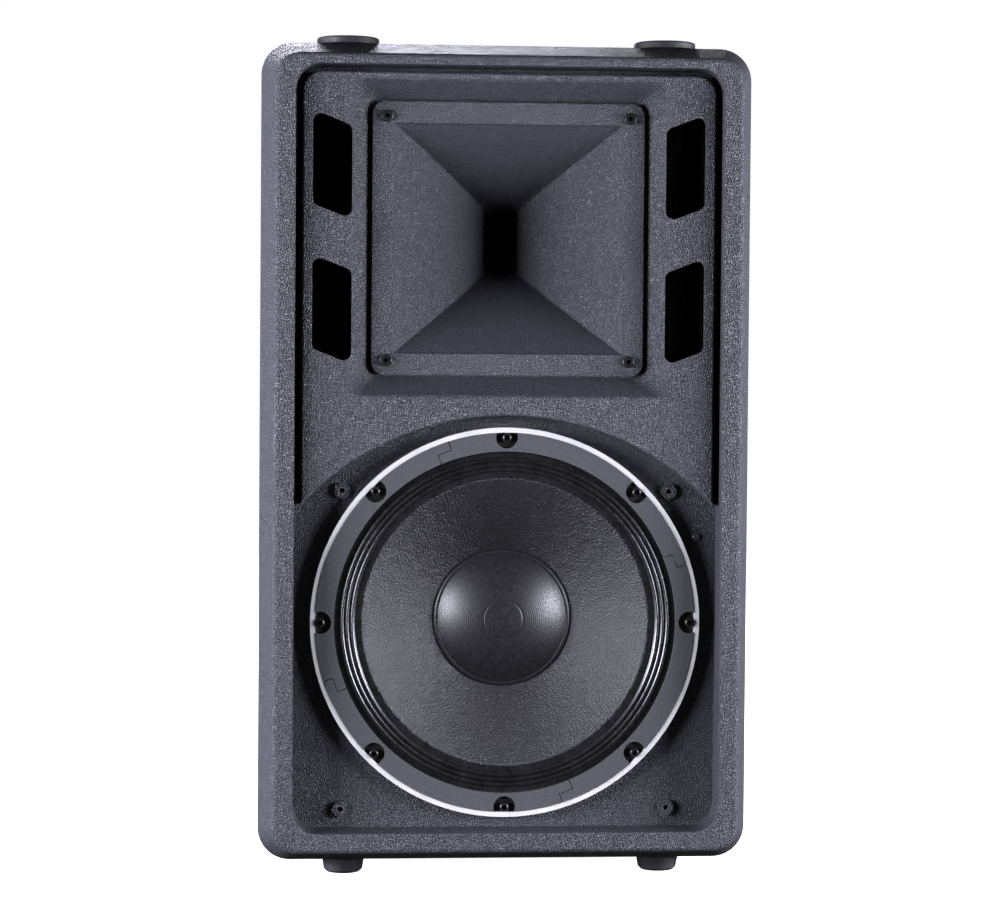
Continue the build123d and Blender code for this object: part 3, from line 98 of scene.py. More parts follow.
def pebbles(material, size):
    """Rounded cells about size metres wide, high in the middle and low along their borders."""
    nodes, links = material.node_tree.nodes, material.node_tree.links
    place = nodes.new("ShaderNodeTexCoord")
    texture = nodes.new("ShaderNodeTexVoronoi")
    texture.feature = "DISTANCE_TO_EDGE"
    texture.inputs["Scale"].default_value = 1 / size
    soften = nodes.new("ShaderNodeMapRange")
    soften.inputs["From Max"].default_value = 0.3
    links.new(place.outputs["Object"], texture.inputs["Vector"])
    links.new(texture.outputs["Distance"], soften.inputs["Value"])
    return soften.outputs["Result"]


def tint(material, pattern, dark, light, low=0.3, high=0.7):
    """Colour that goes from dark to light as the pattern rises from low to high."""
    nodes, links = material.node_tree.nodes, material.node_tree.links
    ramp = nodes.new("ShaderNodeValToRGB")
    ramp.color_ramp.elements[0].position = low
    ramp.color_ramp.elements[0].color = (*dark, 1)
    ramp.color_ramp.elements[1].position = high
    ramp.color_ramp.elements[1].color = (*light, 1)
    links.new(pattern, ramp.inputs["Fac"])
    links.new(ramp.outputs["Color"], nodes["Principled BSDF"].inputs["Base Color"])


def gloss(material, pattern, smooth, rough):
    """Roughness that goes from smooth to rough as the pattern rises."""
    nodes, links = material.node_tree.nodes, material.node_tree.links
    spread = nodes.new("ShaderNodeMapRange")
    spread.inputs["From Min"].default_value = 0.3
    spread.inputs["From Max"].default_value = 0.7
    spread.inputs["To Min"].default_value = smooth
    spread.inputs["To Max"].default_value = rough
    links.new(pattern, spread.inputs["Value"])
    links.new(spread.outputs["Result"], nodes["Principled BSDF"].inputs["Roughness"])


def relief(material, *layers):
    """Bumps from (pattern, height in metres) pairs, one bump node after the other."""
    nodes, links = material.node_tree.nodes, material.node_tree.links
    before = None
    for pattern, height in layers:
        bump = nodes.new("ShaderNodeBump")
        bump.inputs["Distance"].default_value = height
        links.new(pattern, bump.inputs["Height"])
        if before:
            links.new(before.outputs["Normal"], bump.inputs["Normal"])
        before = bump
    links.new(before.outputs["Normal"], nodes["Principled BSDF"].inputs["Normal"])


def moulded_plastic(name, dark, light, smooth, rough, grain):
    """Moulded plastic: speckled colour, leather-grain pebbles, and a slow wave from the mould."""
    material = new_finish(name, light, rough, specular=0.35)
    tint(material, noise(material, grain * 1.1, 4), dark, light, 0.35, 0.65)
    gloss(material, noise(material, 0.012, 5), smooth, rough)
    relief(
        material,
        (noise(material, 0.06, 2), 0.0006),
        (noise(material, grain * 0.7, 3), grain * 0.34),
        (pebbles(material, grain), grain * 0.22),
    )
    return material


def give(material, *nodes):
    """Put a finish on carried-over nodes."""
    for node in nodes:
        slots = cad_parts[node].data.materials
        for k in range(len(slots)):
            slots[k] = material


shell_grain = 1.7 * MM
charcoal = moulded_plastic(
    "charcoal_polypropylene", (0.015, 0.015, 0.019), (0.036, 0.036, 0.045), 0.40, 0.52, shell_grain
)
give(charcoal, "front_shell", "rear_shell", "handle_cup_left", "handle_cup_right", "pole_socket")


# ---------------------------------------------------------------- bass ports
# Four slanted tubes behind the openings beside the horn, moulded in plain black plastic.
port_black = moulded_plastic(
    "port_black", (0.006, 0.006, 0.007), (0.010, 0.010, 0.011), 0.6, 0.75, 1.2 * MM
)
give(port_black, "port_ducts")


# ---------------------------------------------------------------- seam gasket, feet, stacking discs
# Soft foam cord in the seam, and black rubber feet and discs, each held by one screw.
seal_black = new_finish("seal_foam", (0.006, 0.006, 0.006), 0.8)
tint(seal_black, noise(seal_black, 1.0 * MM, 4), (0.003, 0.003, 0.003), (0.010, 0.010, 0.010))
relief(seal_black, (noise(seal_black, 0.8 * MM, 3), 0.0001))
give(seal_black, "seam_gasket", "amp_gasket", "horn_gasket")

rubber = new_finish("black_rubber", (0.012, 0.012, 0.013), 0.62, specular=0.4)
tint(rubber, noise(rubber, 0.010, 5), (0.010, 0.010, 0.011), (0.020, 0.020, 0.022))
gloss(rubber, noise(rubber, 0.006, 4), 0.5, 0.75)
relief(rubber, (noise(rubber, 0.5 * MM, 3), 0.00006))
give(rubber, "feet", "stacking_discs")


# ---------------------------------------------------------------- screws and threaded inserts
# Black-oxide machine screws with hexagon sockets, and zinc-plated inserts set in the plastic.
black_oxide = new_finish("black_oxide_steel", (0.020, 0.020, 0.022), 0.28, metallic=0.6)
tint(black_oxide, noise(black_oxide, 0.003, 4), (0.012, 0.012, 0.013), (0.030, 0.030, 0.033))
gloss(black_oxide, noise(black_oxide, 0.002, 5), 0.20, 0.40)
relief(black_oxide, (noise(black_oxide, 0.3 * MM, 2), 0.00002))
give(
    black_oxide, "shell_screws", "foot_screws", "pole_socket_screws", "handle_screws",
    "woofer_screws", "horn_screws", "amp_screws", "hf_driver_bolts", "transformer_bolt",
)

zinc = new_finish("zinc_plate", (0.42, 0.42, 0.43), 0.35, metallic=1.0)
tint(zinc, noise(zinc, 0.006, 5), (0.30, 0.30, 0.31), (0.50, 0.50, 0.52))
gloss(zinc, noise(zinc, 0.002, 5), 0.25, 0.5)
relief(zinc, (noise(zinc, 0.4 * MM, 3), 0.00002))
give(
    zinc, "rigging_inserts", "grille_inserts", "woofer_top_plate", "woofer_back_plate",
    "potentiometers", "board_standoffs",
)


# ---------------------------------------------------------------- indicator lamp
# A small domed lens in the baffle, right of the woofer, smoky while it is off.
smoky = new_finish("lamp_lens", (0.030, 0.032, 0.038), 0.10)
tint(smoky, noise(smoky, 0.002, 2), (0.020, 0.022, 0.026), (0.045, 0.048, 0.056))
relief(smoky, (noise(smoky, 1.0 * MM, 2), 0.00002))
give(smoky, "status_lamp")


# ---------------------------------------------------------------- horn
# Square horn moulded in one piece with its flange: flat walls that curve in to a narrow slot, and
# a short throat that turns the slot into the driver's round mouth. Four screws hold the flange.
def mesh_piece(name, points, faces, material, sharp=40):
    """One piece from its points in metres and its faces, with its normals turned outwards."""
    mesh = bpy.data.meshes.new(name)
    mesh.from_pydata(points.tolist(), [], faces)
    shape = bmesh.new()
    shape.from_mesh(mesh)
    bmesh.ops.remove_doubles(shape, verts=shape.verts, dist=1e-7)
    bmesh.ops.recalc_face_normals(shape, faces=shape.faces)
    shape.to_mesh(mesh)
    shape.free()
    mesh.shade_smooth()
    mesh.set_sharp_from_angle(angle=math.radians(sharp))
    mesh.materials.append(material)
    piece = bpy.data.objects.new(name, mesh)
    bpy.context.scene.collection.objects.link(piece)
    return piece


def ring_faces(rows, count, closed):
    """Four-sided faces between rows of count points, each row a ring.

    closed joins the last row to the first.
    """
    column = np.arange(count)
    after = np.roll(column, -1)
    row = np.arange(rows if closed else rows - 1)[:, None]
    following = (row + 1) % rows
    return np.stack([
        row * count + column, row * count + after,
        following * count + after, following * count + column,
    ], axis=2).reshape(-1, 4).tolist()


def rounded_rings(half_width, half_height, corner, y, centre):
    """Rounded rectangles facing Y, one for each value: quarter circles joined by straight sides."""
    quarter = np.linspace(0, np.pi / 2, 7)
    straight = np.linspace(0, 1, 14)[1:-1]
    half_width, half_height, corner, y = (
        np.atleast_1d(v)[:, None] for v in np.broadcast_arrays(half_width, half_height, corner, y)
    )
    xs, zs = [], []
    for k, (sx, sz) in enumerate(((1, 1), (-1, 1), (-1, -1), (1, -1))):
        angle = quarter + k * np.pi / 2
        xs.append(sx * (half_width - corner) + corner * np.cos(angle))
        zs.append(sz * (half_height - corner) + corner * np.sin(angle))
    for k in range(4):
        following = (k + 1) % 4
        xs[k] = np.hstack([
            xs[k], xs[k][:, -1:] + (xs[following][:, :1] - xs[k][:, -1:]) * straight
        ])
        zs[k] = np.hstack([
            zs[k], zs[k][:, -1:] + (zs[following][:, :1] - zs[k][:, -1:]) * straight
        ])
    x = centre[0] + np.hstack(xs)
    z = centre[1] + np.hstack(zs)
    return np.stack([x, np.broadcast_to(y, x.shape), z], axis=2)


horn_plastic = moulded_plastic(
    "horn_plastic", (0.018, 0.018, 0.023), (0.032, 0.032, 0.040), 0.38, 0.48, 1.3 * MM
)
horn_low, horn_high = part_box("horn")
horn_z = (horn_low[2] + horn_high[2]) / 2
horn_front = horn_low[1]
flange_half = (horn_high[0] - horn_low[0]) / 2
flange_corner = 10.0 * MM
flange_back = horn_front + 4.0 * MM
flange_edge = 0.6 * MM
mouth_half = 91.25 * MM
mouth_edge = 0.8 * MM
flare_depth = 85.0 * MM
slot_half_width = 13.0 * MM
slot_half_height = 24.0 * MM
throat_radius = 12.7 * MM
horn_depth = horn_high[1] - horn_low[1]
horn_wall = 3.5 * MM
flare = np.linspace(0, 1, 70)
flare_half_width = slot_half_width + (mouth_half - slot_half_width) * (1 - flare) ** 1.40
flare_half_height = slot_half_height + (mouth_half - slot_half_height) * (1 - flare) ** 1.31
flare_corner = (1.0 + 2.0 * flare) * MM
turn = np.linspace(0, 1, 16)[1:]
ease = turn * turn * (3 - 2 * turn)
throat_half_width = slot_half_width + (throat_radius - slot_half_width) * ease
throat_half_height = slot_half_height + (throat_radius - slot_half_height) * ease
throat_corner = flare_corner[-1] + (throat_radius * 0.999 - flare_corner[-1]) * ease
throat_y = horn_front + flare_depth + (horn_depth - flare_depth) * turn
bend = np.linspace(0, np.pi / 2, 5)
half_width = np.concatenate([
    [flange_half], flange_half - flange_edge * (1 - np.cos(bend)),
    mouth_half + mouth_edge * (1 - np.sin(bend)), flare_half_width[1:], throat_half_width,
])
half_height = np.concatenate([
    [flange_half], flange_half - flange_edge * (1 - np.cos(bend)),
    mouth_half + mouth_edge * (1 - np.sin(bend)), flare_half_height[1:], throat_half_height,
])
corner = np.concatenate([
    [flange_corner], flange_corner - flange_edge * (1 - np.cos(bend)),
    flare_corner[0] + mouth_edge * (1 - np.sin(bend)), flare_corner[1:], throat_corner,
])
depth = np.concatenate([
    [flange_back], horn_front + flange_edge * (1 - np.sin(bend)),
    horn_front + mouth_edge * (1 - np.cos(bend)),
    horn_front + mouth_edge + (flare_depth - mouth_edge) * flare[1:], throat_y,
])
outside = slice(6, None)
back_depth = np.maximum(depth[outside][::-1], flange_back)
horn_rings = rounded_rings(
    np.concatenate([half_width, half_width[outside][::-1] + horn_wall]),
    np.concatenate([half_height, half_height[outside][::-1] + horn_wall]),
    np.concatenate([corner, corner[outside][::-1] + horn_wall * 0.99]),
    np.concatenate([depth, back_depth]),
    (0, horn_z),
)
horn = mesh_piece(
    "horn_flare", horn_rings.reshape(-1, 3),
    ring_faces(horn_rings.shape[0], horn_rings.shape[1], True), horn_plastic,
)
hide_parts("horn")
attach(horn, "cabinet")
give(horn_plastic, "hf_rear_cover")


# ---------------------------------------------------------------- woofer frame and its trim
# Steel basket in black paint, a bright trim ring round it, and a fibre gasket on its flange.
woofer_low, woofer_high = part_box("woofer_trim_ring")
woofer_z = (woofer_low[2] + woofer_high[2]) / 2

basket_paint = new_finish("basket_paint", (0.010, 0.010, 0.011), 0.45)
tint(basket_paint, noise(basket_paint, 0.02, 5), (0.003, 0.003, 0.003), (0.006, 0.006, 0.007))
gloss(basket_paint, noise(basket_paint, 0.004, 5), 0.35, 0.55)
relief(basket_paint, (noise(basket_paint, 0.6 * MM, 3), 0.00005))
give(basket_paint, "woofer_basket")

bright_trim = new_finish("bright_trim", (0.48, 0.48, 0.47), 0.30)
tint(bright_trim, noise(bright_trim, 0.02, 4), (0.43, 0.43, 0.42), (0.52, 0.52, 0.51))
gloss(bright_trim, noise(bright_trim, 0.004, 5), 0.25, 0.40)
relief(bright_trim, (noise(bright_trim, 0.8 * MM, 3), 0.00003))
give(bright_trim, "woofer_trim_ring")

fibre = new_finish("gasket_fibre", (0.050, 0.050, 0.055), 0.85, specular=0.3)
tint(fibre, noise(fibre, 1.2 * MM, 6), (0.034, 0.034, 0.038), (0.062, 0.062, 0.068))
relief(fibre, (noise(fibre, 0.7 * MM, 5), 0.00012), (noise(fibre, 0.02, 2), 0.0004))
give(fibre, "woofer_gasket")


# ---------------------------------------------------------------- surround
# Three small rolls of treated cloth. The outer edge is glued to the basket and the inner edge to
# the cone. It is laid out in wedges, each a part turn of the same profile.
def turned(name, profile, centre, material, start=0.0, end=2 * np.pi, steps=192):
    """A closed profile of (radius, y) points carried round the Y axis through centre (x, z).

    Each point goes to (x + radius cos a, y, z + radius sin a) for angles a from start to end.
    A part turn is closed by the profile itself at both ends.
    """
    whole = end - start > 2 * np.pi - 1e-6
    angles = np.linspace(start, end, steps, endpoint=not whole)
    radius, y = np.asarray(profile).T
    grid = np.stack([
        centre[0] + np.outer(np.cos(angles), radius),
        np.broadcast_to(y, (steps, len(y))),
        centre[1] + np.outer(np.sin(angles), radius),
    ], axis=2)
    faces = ring_faces(steps, len(y), whole)
    if not whole:
        column = np.arange(len(y))
        faces.append(column.tolist())
        faces.append(((steps - 1) * len(y) + column[::-1]).tolist())
    return mesh_piece(name, grid.reshape(-1, 3), faces, material)


treated_cloth = new_finish("treated_cloth", (0.010, 0.010, 0.011), 0.34)
treated_cloth.node_tree.nodes["Principled BSDF"].inputs["Coat Weight"].default_value = 0.4
treated_cloth.node_tree.nodes["Principled BSDF"].inputs["Coat Roughness"].default_value = 0.25
tint(treated_cloth, noise(treated_cloth, 0.01, 5), (0.003, 0.003, 0.0035), (0.008, 0.008, 0.009))
gloss(treated_cloth, noise(treated_cloth, 0.003, 5), 0.22, 0.38)
relief(treated_cloth, (noise(treated_cloth, 0.5 * MM, 3), 0.00005))

surround_low, surround_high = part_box("woofer_surround")
surround_outer = (surround_high[0] - surround_low[0]) / 2
surround_inner = 115.5 * MM
surround_back = surround_high[1]
cloth_thickness = 0.7 * MM
first_roll = 120.5 * MM
last_roll = 132.5 * MM
roll_count = 3
roll_height = 1.95 * MM
wedge_count = 24
spread = np.linspace(surround_inner, surround_outer, 110)
share = np.clip((spread - first_roll) / (last_roll - first_roll), 0, 1)
rolls = np.abs(np.sin(np.pi * roll_count * share)) ** 0.75
cloth_front = surround_back - cloth_thickness - roll_height * rolls
cloth_back = cloth_front + cloth_thickness
cloth_profile = np.concatenate([
    np.column_stack([spread, cloth_front]),
    np.column_stack([spread, cloth_back])[::-1],
])
for k in range(wedge_count):
    start = 2 * np.pi * k / wedge_count
    end = 2 * np.pi * (k + 1) / wedge_count
    wedge = turned(
        f"surround_wedge_{k + 1}", cloth_profile, (0, woofer_z), treated_cloth, start, end, 9
    )
    if k == 0:
        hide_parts("woofer_surround")
    middle = (start + end) / 2
    out = np.array([np.cos(middle), 0, np.sin(middle)])
    centre = np.array([0, surround_back, woofer_z])
    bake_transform(wedge)


# ---------------------------------------------------------------- cone
# Pressed paper pulp, black, straight sided with a flat rim under the surround.
pulp = new_finish("paper_pulp", (0.012, 0.012, 0.013), 0.42)
tint(pulp, noise(pulp, 1.3 * MM, 6), (0.003, 0.003, 0.0035), (0.013, 0.013, 0.015))
gloss(pulp, noise(pulp, 1.2 * MM, 6), 0.30, 0.52)
relief(pulp, (noise(pulp, 1.3 * MM, 6), 0.0011), (noise(pulp, 0.012, 3), 0.0008))

cone_low, cone_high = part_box("woofer_cone")
cone_edge = (cone_high[0] - cone_low[0]) / 2
cone_front = cone_low[1]
cone_back = cone_high[1]
cone_rim = 5.0 * MM
cone_neck = 32.3 * MM
paper_thickness = 1.2 * MM
cone_slope = (cone_back - paper_thickness - cone_front) / (cone_edge - cone_rim - cone_neck)
run = np.linspace(cone_edge, cone_neck, 120)
cone_face = cone_front + cone_slope * np.clip(cone_edge - cone_rim - run, 0, None)
cone = turned("cone_paper", np.concatenate([
    np.column_stack([run, cone_face]),
    np.column_stack([run, cone_face + paper_thickness])[::-1],
]), (0, woofer_z), pulp)
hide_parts("woofer_cone")
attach(cone, "cone")


# ---------------------------------------------------------------- dust cap
# A pressed dome with a rolled edge, glued to the cone, lacquered, with fine rings from its die.
lacquer = new_finish("lacquered_cap", (0.020, 0.020, 0.022), 0.34)
lacquer.node_tree.nodes["Principled BSDF"].inputs["Coat Weight"].default_value = 0.15
lacquer.node_tree.nodes["Principled BSDF"].inputs["Coat Roughness"].default_value = 0.30
tint(lacquer, noise(lacquer, 0.004, 6), (0.005, 0.005, 0.006), (0.012, 0.012, 0.014))
gloss(lacquer, noise(lacquer, 1.5 * MM, 6), 0.34, 0.48)
relief(lacquer, (noise(lacquer, 1.0 * MM, 5), 0.00012))

cap_low, cap_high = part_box("woofer_dust_cap")
cap_edge = (cap_high[0] - cap_low[0]) / 2
cap_top = cap_low[1]
cap_thickness = 0.8 * MM
dome_edge = 52.5 * MM
glue_room = 1.6 * MM
dome_rim = cone_front + cone_slope * (cone_edge - cone_rim - cap_edge) - glue_room
dome_rise = dome_rim - cap_top
ball = (dome_edge ** 2 + dome_rise ** 2) / (2 * dome_rise)
centre_ring = 16.0 * MM
centre_ring_width = 0.7 * MM
centre_ring_depth = 0.22 * MM
die_ring_pitch = 1.7 * MM
die_ring_depth = 0.03 * MM
edge_roll_rise = 1.3 * MM
edge_roll_drop = 1.5 * MM
dome_run = np.linspace(0, dome_edge, 150)
dome_face = dome_rim - (np.sqrt(ball ** 2 - dome_run ** 2) - (ball - dome_rise))
dome_face += centre_ring_depth * np.exp(-((dome_run - centre_ring) / centre_ring_width) ** 2)
die_rings = np.sin(2 * np.pi * dome_run / die_ring_pitch)
dome_face += die_ring_depth * die_rings * np.clip(dome_run / centre_ring, 0, 1)
bend = np.linspace(0, np.pi, 14)
edge_middle = (dome_edge + cap_edge) / 2
edge_half = (cap_edge - dome_edge) / 2
roll_run = edge_middle - edge_half * np.cos(bend)
roll_face = dome_rim - edge_roll_rise * np.sin(bend) + edge_roll_drop * (1 - np.cos(bend)) / 2
run = np.concatenate([dome_run, roll_run[1:]])
face = np.concatenate([dome_face, roll_face[1:]])
cap = turned("dust_cap_dome", np.concatenate([
    np.column_stack([run, face]),
    np.column_stack([run, face + cap_thickness])[::-1],
]), (0, woofer_z), lacquer)
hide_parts("woofer_dust_cap")
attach(cap, "cone")


# ---------------------------------------------------------------- coils, magnets and suspensions
# The pieces inside the two drivers: wound copper, ferrite rings, a varnished cloth spider, a paper
# former, and a diaphragm with its cloth suspension. The diaphragm is coloured near black as painted
# shade, so that the horn throat renders dark.
copper = new_finish("enamelled_copper", (0.60, 0.24, 0.10), 0.3, metallic=1.0)
tint(copper, noise(copper, 0.3 * MM, 2, (0.05, 1, 0.05)), (0.40, 0.14, 0.05), (0.75, 0.33, 0.15))
relief(copper, (noise(copper, 0.3 * MM, 2, (0.05, 1, 0.05)), 0.00006))
give(copper, "voice_coil", "hf_voice_coil", "transformer")

ferrite = new_finish("ferrite", (0.030, 0.030, 0.032), 0.7)
tint(ferrite, noise(ferrite, 0.008, 6), (0.020, 0.020, 0.022), (0.045, 0.045, 0.048))
relief(ferrite, (noise(ferrite, 0.8 * MM, 5), 0.00015))
give(ferrite, "woofer_magnet", "hf_magnet", "hf_pole_plate", "hf_top_plate")

varnished_cloth = new_finish("varnished_cloth", (0.32, 0.20, 0.08), 0.6)
tint(varnished_cloth, noise(varnished_cloth, 0.8 * MM, 4), (0.22, 0.13, 0.05), (0.40, 0.26, 0.11))
relief(varnished_cloth, (noise(varnished_cloth, 0.5 * MM, 3), 0.0001))
give(varnished_cloth, "spider", "voice_coil_former", "hf_suspension")

# The diaphragm's near-black colour is painted shade: it stands in for the darkness deep in the horn
# throat.
throat_shade_dome = new_finish("diaphragm_painted_shade", (0.012, 0.009, 0.007), 0.55)
tint(throat_shade_dome, noise(throat_shade_dome, 1.0 * MM, 4), (0.008, 0.006, 0.005), (0.016, 0.012, 0.009))
relief(throat_shade_dome, (noise(throat_shade_dome, 0.8 * MM, 3), 0.00005))
give(throat_shade_dome, "hf_diaphragm")

brass = new_finish("brass", (0.70, 0.50, 0.20), 0.3, metallic=1.0)
tint(brass, noise(brass, 0.004, 4), (0.58, 0.40, 0.15), (0.78, 0.57, 0.25))
relief(brass, (noise(brass, 0.4 * MM, 2), 0.00002))
give(brass, "woofer_terminals")


# ---------------------------------------------------------------- amplifier panel and heatsink
# Steel panel in satin black powder coat, with an extruded, anodised heatsink screwed to it.
powder_coat = new_finish("powder_coat", (0.014, 0.014, 0.015), 0.5)
tint(powder_coat, noise(powder_coat, 0.02, 5), (0.011, 0.011, 0.012), (0.019, 0.019, 0.020))
gloss(powder_coat, noise(powder_coat, 0.006, 4), 0.42, 0.58)
relief(powder_coat, (noise(powder_coat, 0.7 * MM, 4), 0.00008))
give(powder_coat, "amp_panel", "switch_frame")

anodised = new_finish("black_anodised", (0.018, 0.018, 0.020), 0.36, metallic=0.7)
tint(
    anodised, noise(anodised, 0.015, 5, (1, 1, 0.08)),
    (0.012, 0.012, 0.013), (0.028, 0.028, 0.030),
)
gloss(anodised, noise(anodised, 0.004, 5, (1, 1, 0.1)), 0.28, 0.46)
relief(anodised, (noise(anodised, 0.5 * MM, 3, (1, 1, 0.03)), 0.00004))
give(anodised, "heatsink")


# ---------------------------------------------------------------- sockets, switch and release tab
# Moulded nylon bodies for the signal sockets and the mains inlet, with a smoother rocker and tab.
nylon = moulded_plastic(
    "black_nylon", (0.010, 0.010, 0.011), (0.016, 0.016, 0.017), 0.32, 0.46, 0.5 * MM
)
give(nylon, "signal_sockets", "mains_inlet", "fuse_drawer")

satin_nylon = moulded_plastic(
    "satin_nylon", (0.016, 0.016, 0.017), (0.024, 0.024, 0.026), 0.22, 0.34, 0.4 * MM
)
give(satin_nylon, "rocker", "push_button")

tab_plastic = moulded_plastic(
    "tab_plastic", (0.22, 0.22, 0.23), (0.28, 0.28, 0.29), 0.30, 0.42, 0.4 * MM
)
give(tab_plastic, "release_tab")


# ---------------------------------------------------------------- level and tone knobs
# Fluted soft-touch knobs pushed on the shafts, each with a white pointer line inlaid in its face.
knob_rubber = moulded_plastic(
    "knob_rubber", (0.014, 0.014, 0.015), (0.022, 0.022, 0.024), 0.48, 0.62, 0.5 * MM
)
pointer_white = new_finish("pointer_white", (0.75, 0.75, 0.74), 0.5)
tint(pointer_white, noise(pointer_white, 1.0 * MM, 3), (0.66, 0.66, 0.65), (0.80, 0.80, 0.79))
relief(pointer_white, (noise(pointer_white, 0.3 * MM, 2), 0.00002))


flute_count = 18
flute_depth = 0.5 * MM
knob_edge = 1.4 * MM
skirt_lip = 0.6 * MM
skirt_height = 1.2 * MM
pointer_half = 0.45 * MM


def knob(name, node, body):
    """A knob in its CAD node's place, a profile turned round the Y axis.

    The radius falls by half a cosine's height at each flute. The flutes fade out on the face.
    """
    low, high = (np.array(v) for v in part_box(node))
    centre = (low + high) / 2
    radius = (high[0] - low[0]) / 2
    base, face = low[1], high[1]
    turn = np.linspace(0, 2 * np.pi, 144, endpoint=False)
    bend = np.linspace(0, np.pi / 2, 7)
    along = np.concatenate([
        [0, radius, radius], radius - skirt_lip - knob_edge * (1 - np.cos(bend)),
        [radius * 0.5, 0],
    ])
    depth = np.concatenate([
        [base, base, base + skirt_height], face - knob_edge + knob_edge * np.sin(bend),
        [face - 0.3 * MM, face - 0.4 * MM],
    ])
    fluted = np.clip((along - radius * 0.6) / (radius * 0.3), 0, 1)
    flute = flute_depth * (0.5 + 0.5 * np.cos(flute_count * turn))
    swing = along[None, :] - flute[:, None] * fluted[None, :]
    grid = np.stack([
        centre[0] + np.cos(turn)[:, None] * swing,
        np.broadcast_to(depth, swing.shape),
        centre[2] + np.sin(turn)[:, None] * swing,
    ], axis=2)
    count = len(along)
    rows = np.arange(len(turn))[:, None]
    following = (rows + 1) % len(turn)
    column = np.arange(count - 1)
    faces = np.stack([
        rows * count + column, rows * count + column + 1,
        following * count + column + 1, following * count + column,
    ], axis=2).reshape(-1, 4).tolist()
    piece = mesh_piece(name, grid.reshape(-1, 3), faces, knob_rubber)
    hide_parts(node)
    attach(piece, body)
    near, far = radius * 0.25, radius * 0.88
    corners = (
        (-pointer_half, near), (pointer_half, near), (pointer_half, far), (-pointer_half, far)
    )
    line = np.array([
        (centre[0] + x, y, centre[2] + z)
        for y in (face - 0.45 * MM, face - 0.08 * MM)
        for x, z in corners
    ])
    sides = [[k, (k + 1) % 4, 4 + (k + 1) % 4, 4 + k] for k in range(4)]
    pointer = mesh_piece(
        name + "_pointer", line, [[3, 2, 1, 0], [4, 5, 6, 7]] + sides, pointer_white
    )
    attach(pointer, body)
    return centre


level_centre = knob("level_knob_cap", "level_knob", "level_knob")
tone_centre = knob("tone_knob_cap", "tone_knob", "tone_knob")


# ---------------------------------------------------------------- dial marks
# Eleven printed ticks round each knob, a thin layer of white ink on the powder coat.
panel_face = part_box("amp_panel")[1][1]
ink = 0.12 * MM
tick_turns = np.radians(np.linspace(-150, 150, 11))
tick_inner = 11.2 * MM
tick_outer = 13.4 * MM
tick_half = 0.3 * MM
tick_corners = ((tick_inner, -1), (tick_outer, -1), (tick_outer, 1), (tick_inner, 1))
for name, centre in (("level_marks", level_centre), ("tone_marks", tone_centre)):
    points = []
    faces = []
    for turn in tick_turns:
        out = np.array([np.sin(turn), 0, np.cos(turn)])
        across = np.array([np.cos(turn), 0, -np.sin(turn)])
        base = np.array([centre[0], panel_face, centre[2]])
        first = len(points)
        for lift in (0.0, ink):
            for reach, side in tick_corners:
                place = base + reach * out + side * tick_half * across
                points.append(place + np.array([0, lift, 0]))
        faces += [[first + k for k in (3, 2, 1, 0)], [first + k for k in (4, 5, 6, 7)]]
        faces += [
            [first + k, first + (k + 1) % 4, first + 4 + (k + 1) % 4, first + 4 + k]
            for k in range(4)
        ]
    marks = mesh_piece(name, np.array(points), faces, pointer_white)
    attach(marks, "cabinet")


# ---------------------------------------------------------------- boards inside
# The amplifier's board and its parts, out of sight behind the panel.
board_green = new_finish("board_green", (0.02, 0.10, 0.05), 0.4)
tint(board_green, noise(board_green, 0.006, 4), (0.012, 0.070, 0.034), (0.030, 0.130, 0.065))
relief(board_green, (noise(board_green, 1.0 * MM, 2), 0.00003))
give(board_green, "main_board")

sleeve = new_finish("capacitor_sleeve", (0.015, 0.020, 0.05), 0.35)
tint(sleeve, noise(sleeve, 0.008, 3), (0.010, 0.014, 0.040), (0.022, 0.030, 0.070))
relief(sleeve, (noise(sleeve, 1.0 * MM, 2), 0.00002))
give(sleeve, "capacitors")


# ---------------------------------------------------------------- floor, lights and camera
# A pale matt floor, a wide soft box left and right of the front, one behind, and white all round.
floor_half = 6.0
floor_mesh = bpy.data.meshes.new("studio_floor")
floor_mesh.from_pydata(
    [(-floor_half, -floor_half, 0), (floor_half, -floor_half, 0),
     (floor_half, floor_half, 0), (-floor_half, floor_half, 0)],
    [], [(0, 1, 2, 3)],
)
floor = bpy.data.objects.new("studio_floor", floor_mesh)
bpy.context.scene.collection.objects.link(floor)
pale = new_finish("pale_floor", (0.93, 0.93, 0.93), 0.9, specular=0.1)
tint(pale, noise(pale, 0.5, 2), (0.92, 0.92, 0.92), (0.95, 0.95, 0.95))
pale.node_tree.nodes["Principled BSDF"].inputs["Emission Color"].default_value = (1, 1, 1, 1)
pale.node_tree.nodes["Principled BSDF"].inputs["Emission Strength"].default_value = 0.96
floor_mesh.materials.append(pale)
floor.visible_diffuse = False
floor.visible_glossy = False

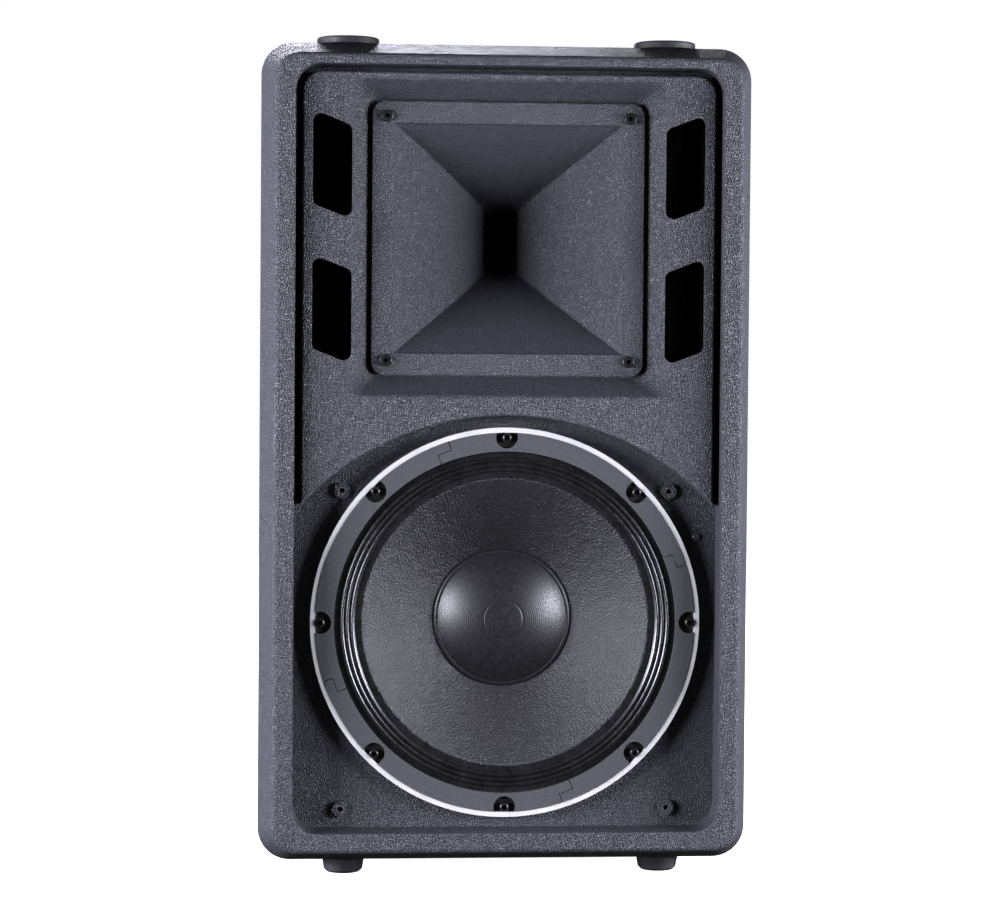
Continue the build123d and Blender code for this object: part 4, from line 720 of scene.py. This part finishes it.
world = bpy.data.worlds.new("studio_white")
bpy.context.scene.world = world
world.use_nodes = True
world_nodes, world_links = world.node_tree.nodes, world.node_tree.links
seen = world_nodes["Background"]
seen.inputs["Color"].default_value = (1, 1, 1, 1)
seen.inputs["Strength"].default_value = 1.0
fill = world_nodes.new("ShaderNodeBackground")
fill.inputs["Color"].default_value = (0.93, 0.95, 1.0, 1)
fill.inputs["Strength"].default_value = 0.05
which_ray = world_nodes.new("ShaderNodeLightPath")
either = world_nodes.new("ShaderNodeMixShader")
world_links.new(which_ray.outputs["Is Camera Ray"], either.inputs[0])
world_links.new(fill.outputs[0], either.inputs[1])
world_links.new(seen.outputs[0], either.inputs[2])
world_links.new(either.outputs[0], world_nodes["World Output"].inputs["Surface"])


soft_box_tint = (0.87, 0.87, 1.0)
side_box_size = (1.3, 0.6)
rear_box_size = (1.2, 1.0)


def soft_box(name, place, width, height, power, aim):
    """A rectangular light of that size in metres at place, turned towards aim."""
    data = bpy.data.lights.new(name, "AREA")
    data.shape = "RECTANGLE"
    data.size = width
    data.size_y = height
    data.energy = power
    data.color = soft_box_tint
    lamp = bpy.data.objects.new(name, data)
    lamp.location = place
    lamp.rotation_euler = (Vector(aim) - Vector(place)).to_track_quat("-Z", "Y").to_euler()
    bpy.context.scene.collection.objects.link(lamp)


middle = (0, 0, cad_high[2] / 2)
soft_box("left_soft_box", (-1.65, -0.62, 0.42), *side_box_size, 150, middle)
soft_box("right_soft_box", (1.65, -0.62, 0.42), *side_box_size, 132, middle)
soft_box("rear_soft_box", (-0.3, 2.3, 1.3), *rear_box_size, 95, middle)

bpy.context.scene.view_settings.view_transform = "Standard"

camera_data = bpy.data.cameras.new("studio_camera")
camera_data.lens = 94.6
camera_data.sensor_width = 36.0
camera_data.shift_x = 0.005
camera_data.shift_y = -0.056
camera_data.clip_end = 50
camera = bpy.data.objects.new("studio_camera", camera_data)
heading = math.radians(4.33)
pitch = math.radians(-1.52)
roll = math.radians(0.45)
forward = Vector((
    math.sin(heading) * math.cos(pitch), math.cos(heading) * math.cos(pitch), math.sin(pitch)
))
right = Vector((math.cos(heading), -math.sin(heading), 0))
up = right.cross(forward)
tilted_right = math.cos(roll) * right + math.sin(roll) * up
tilted_up = -math.sin(roll) * right + math.cos(roll) * up
turned_axes = Matrix((tilted_right, tilted_up, -forward)).transposed()
camera.matrix_world = Matrix.Translation((-0.168, -2.246, 0.438)) @ turned_axes.to_4x4()
bpy.context.scene.collection.objects.link(camera)
bpy.context.scene.camera = camera
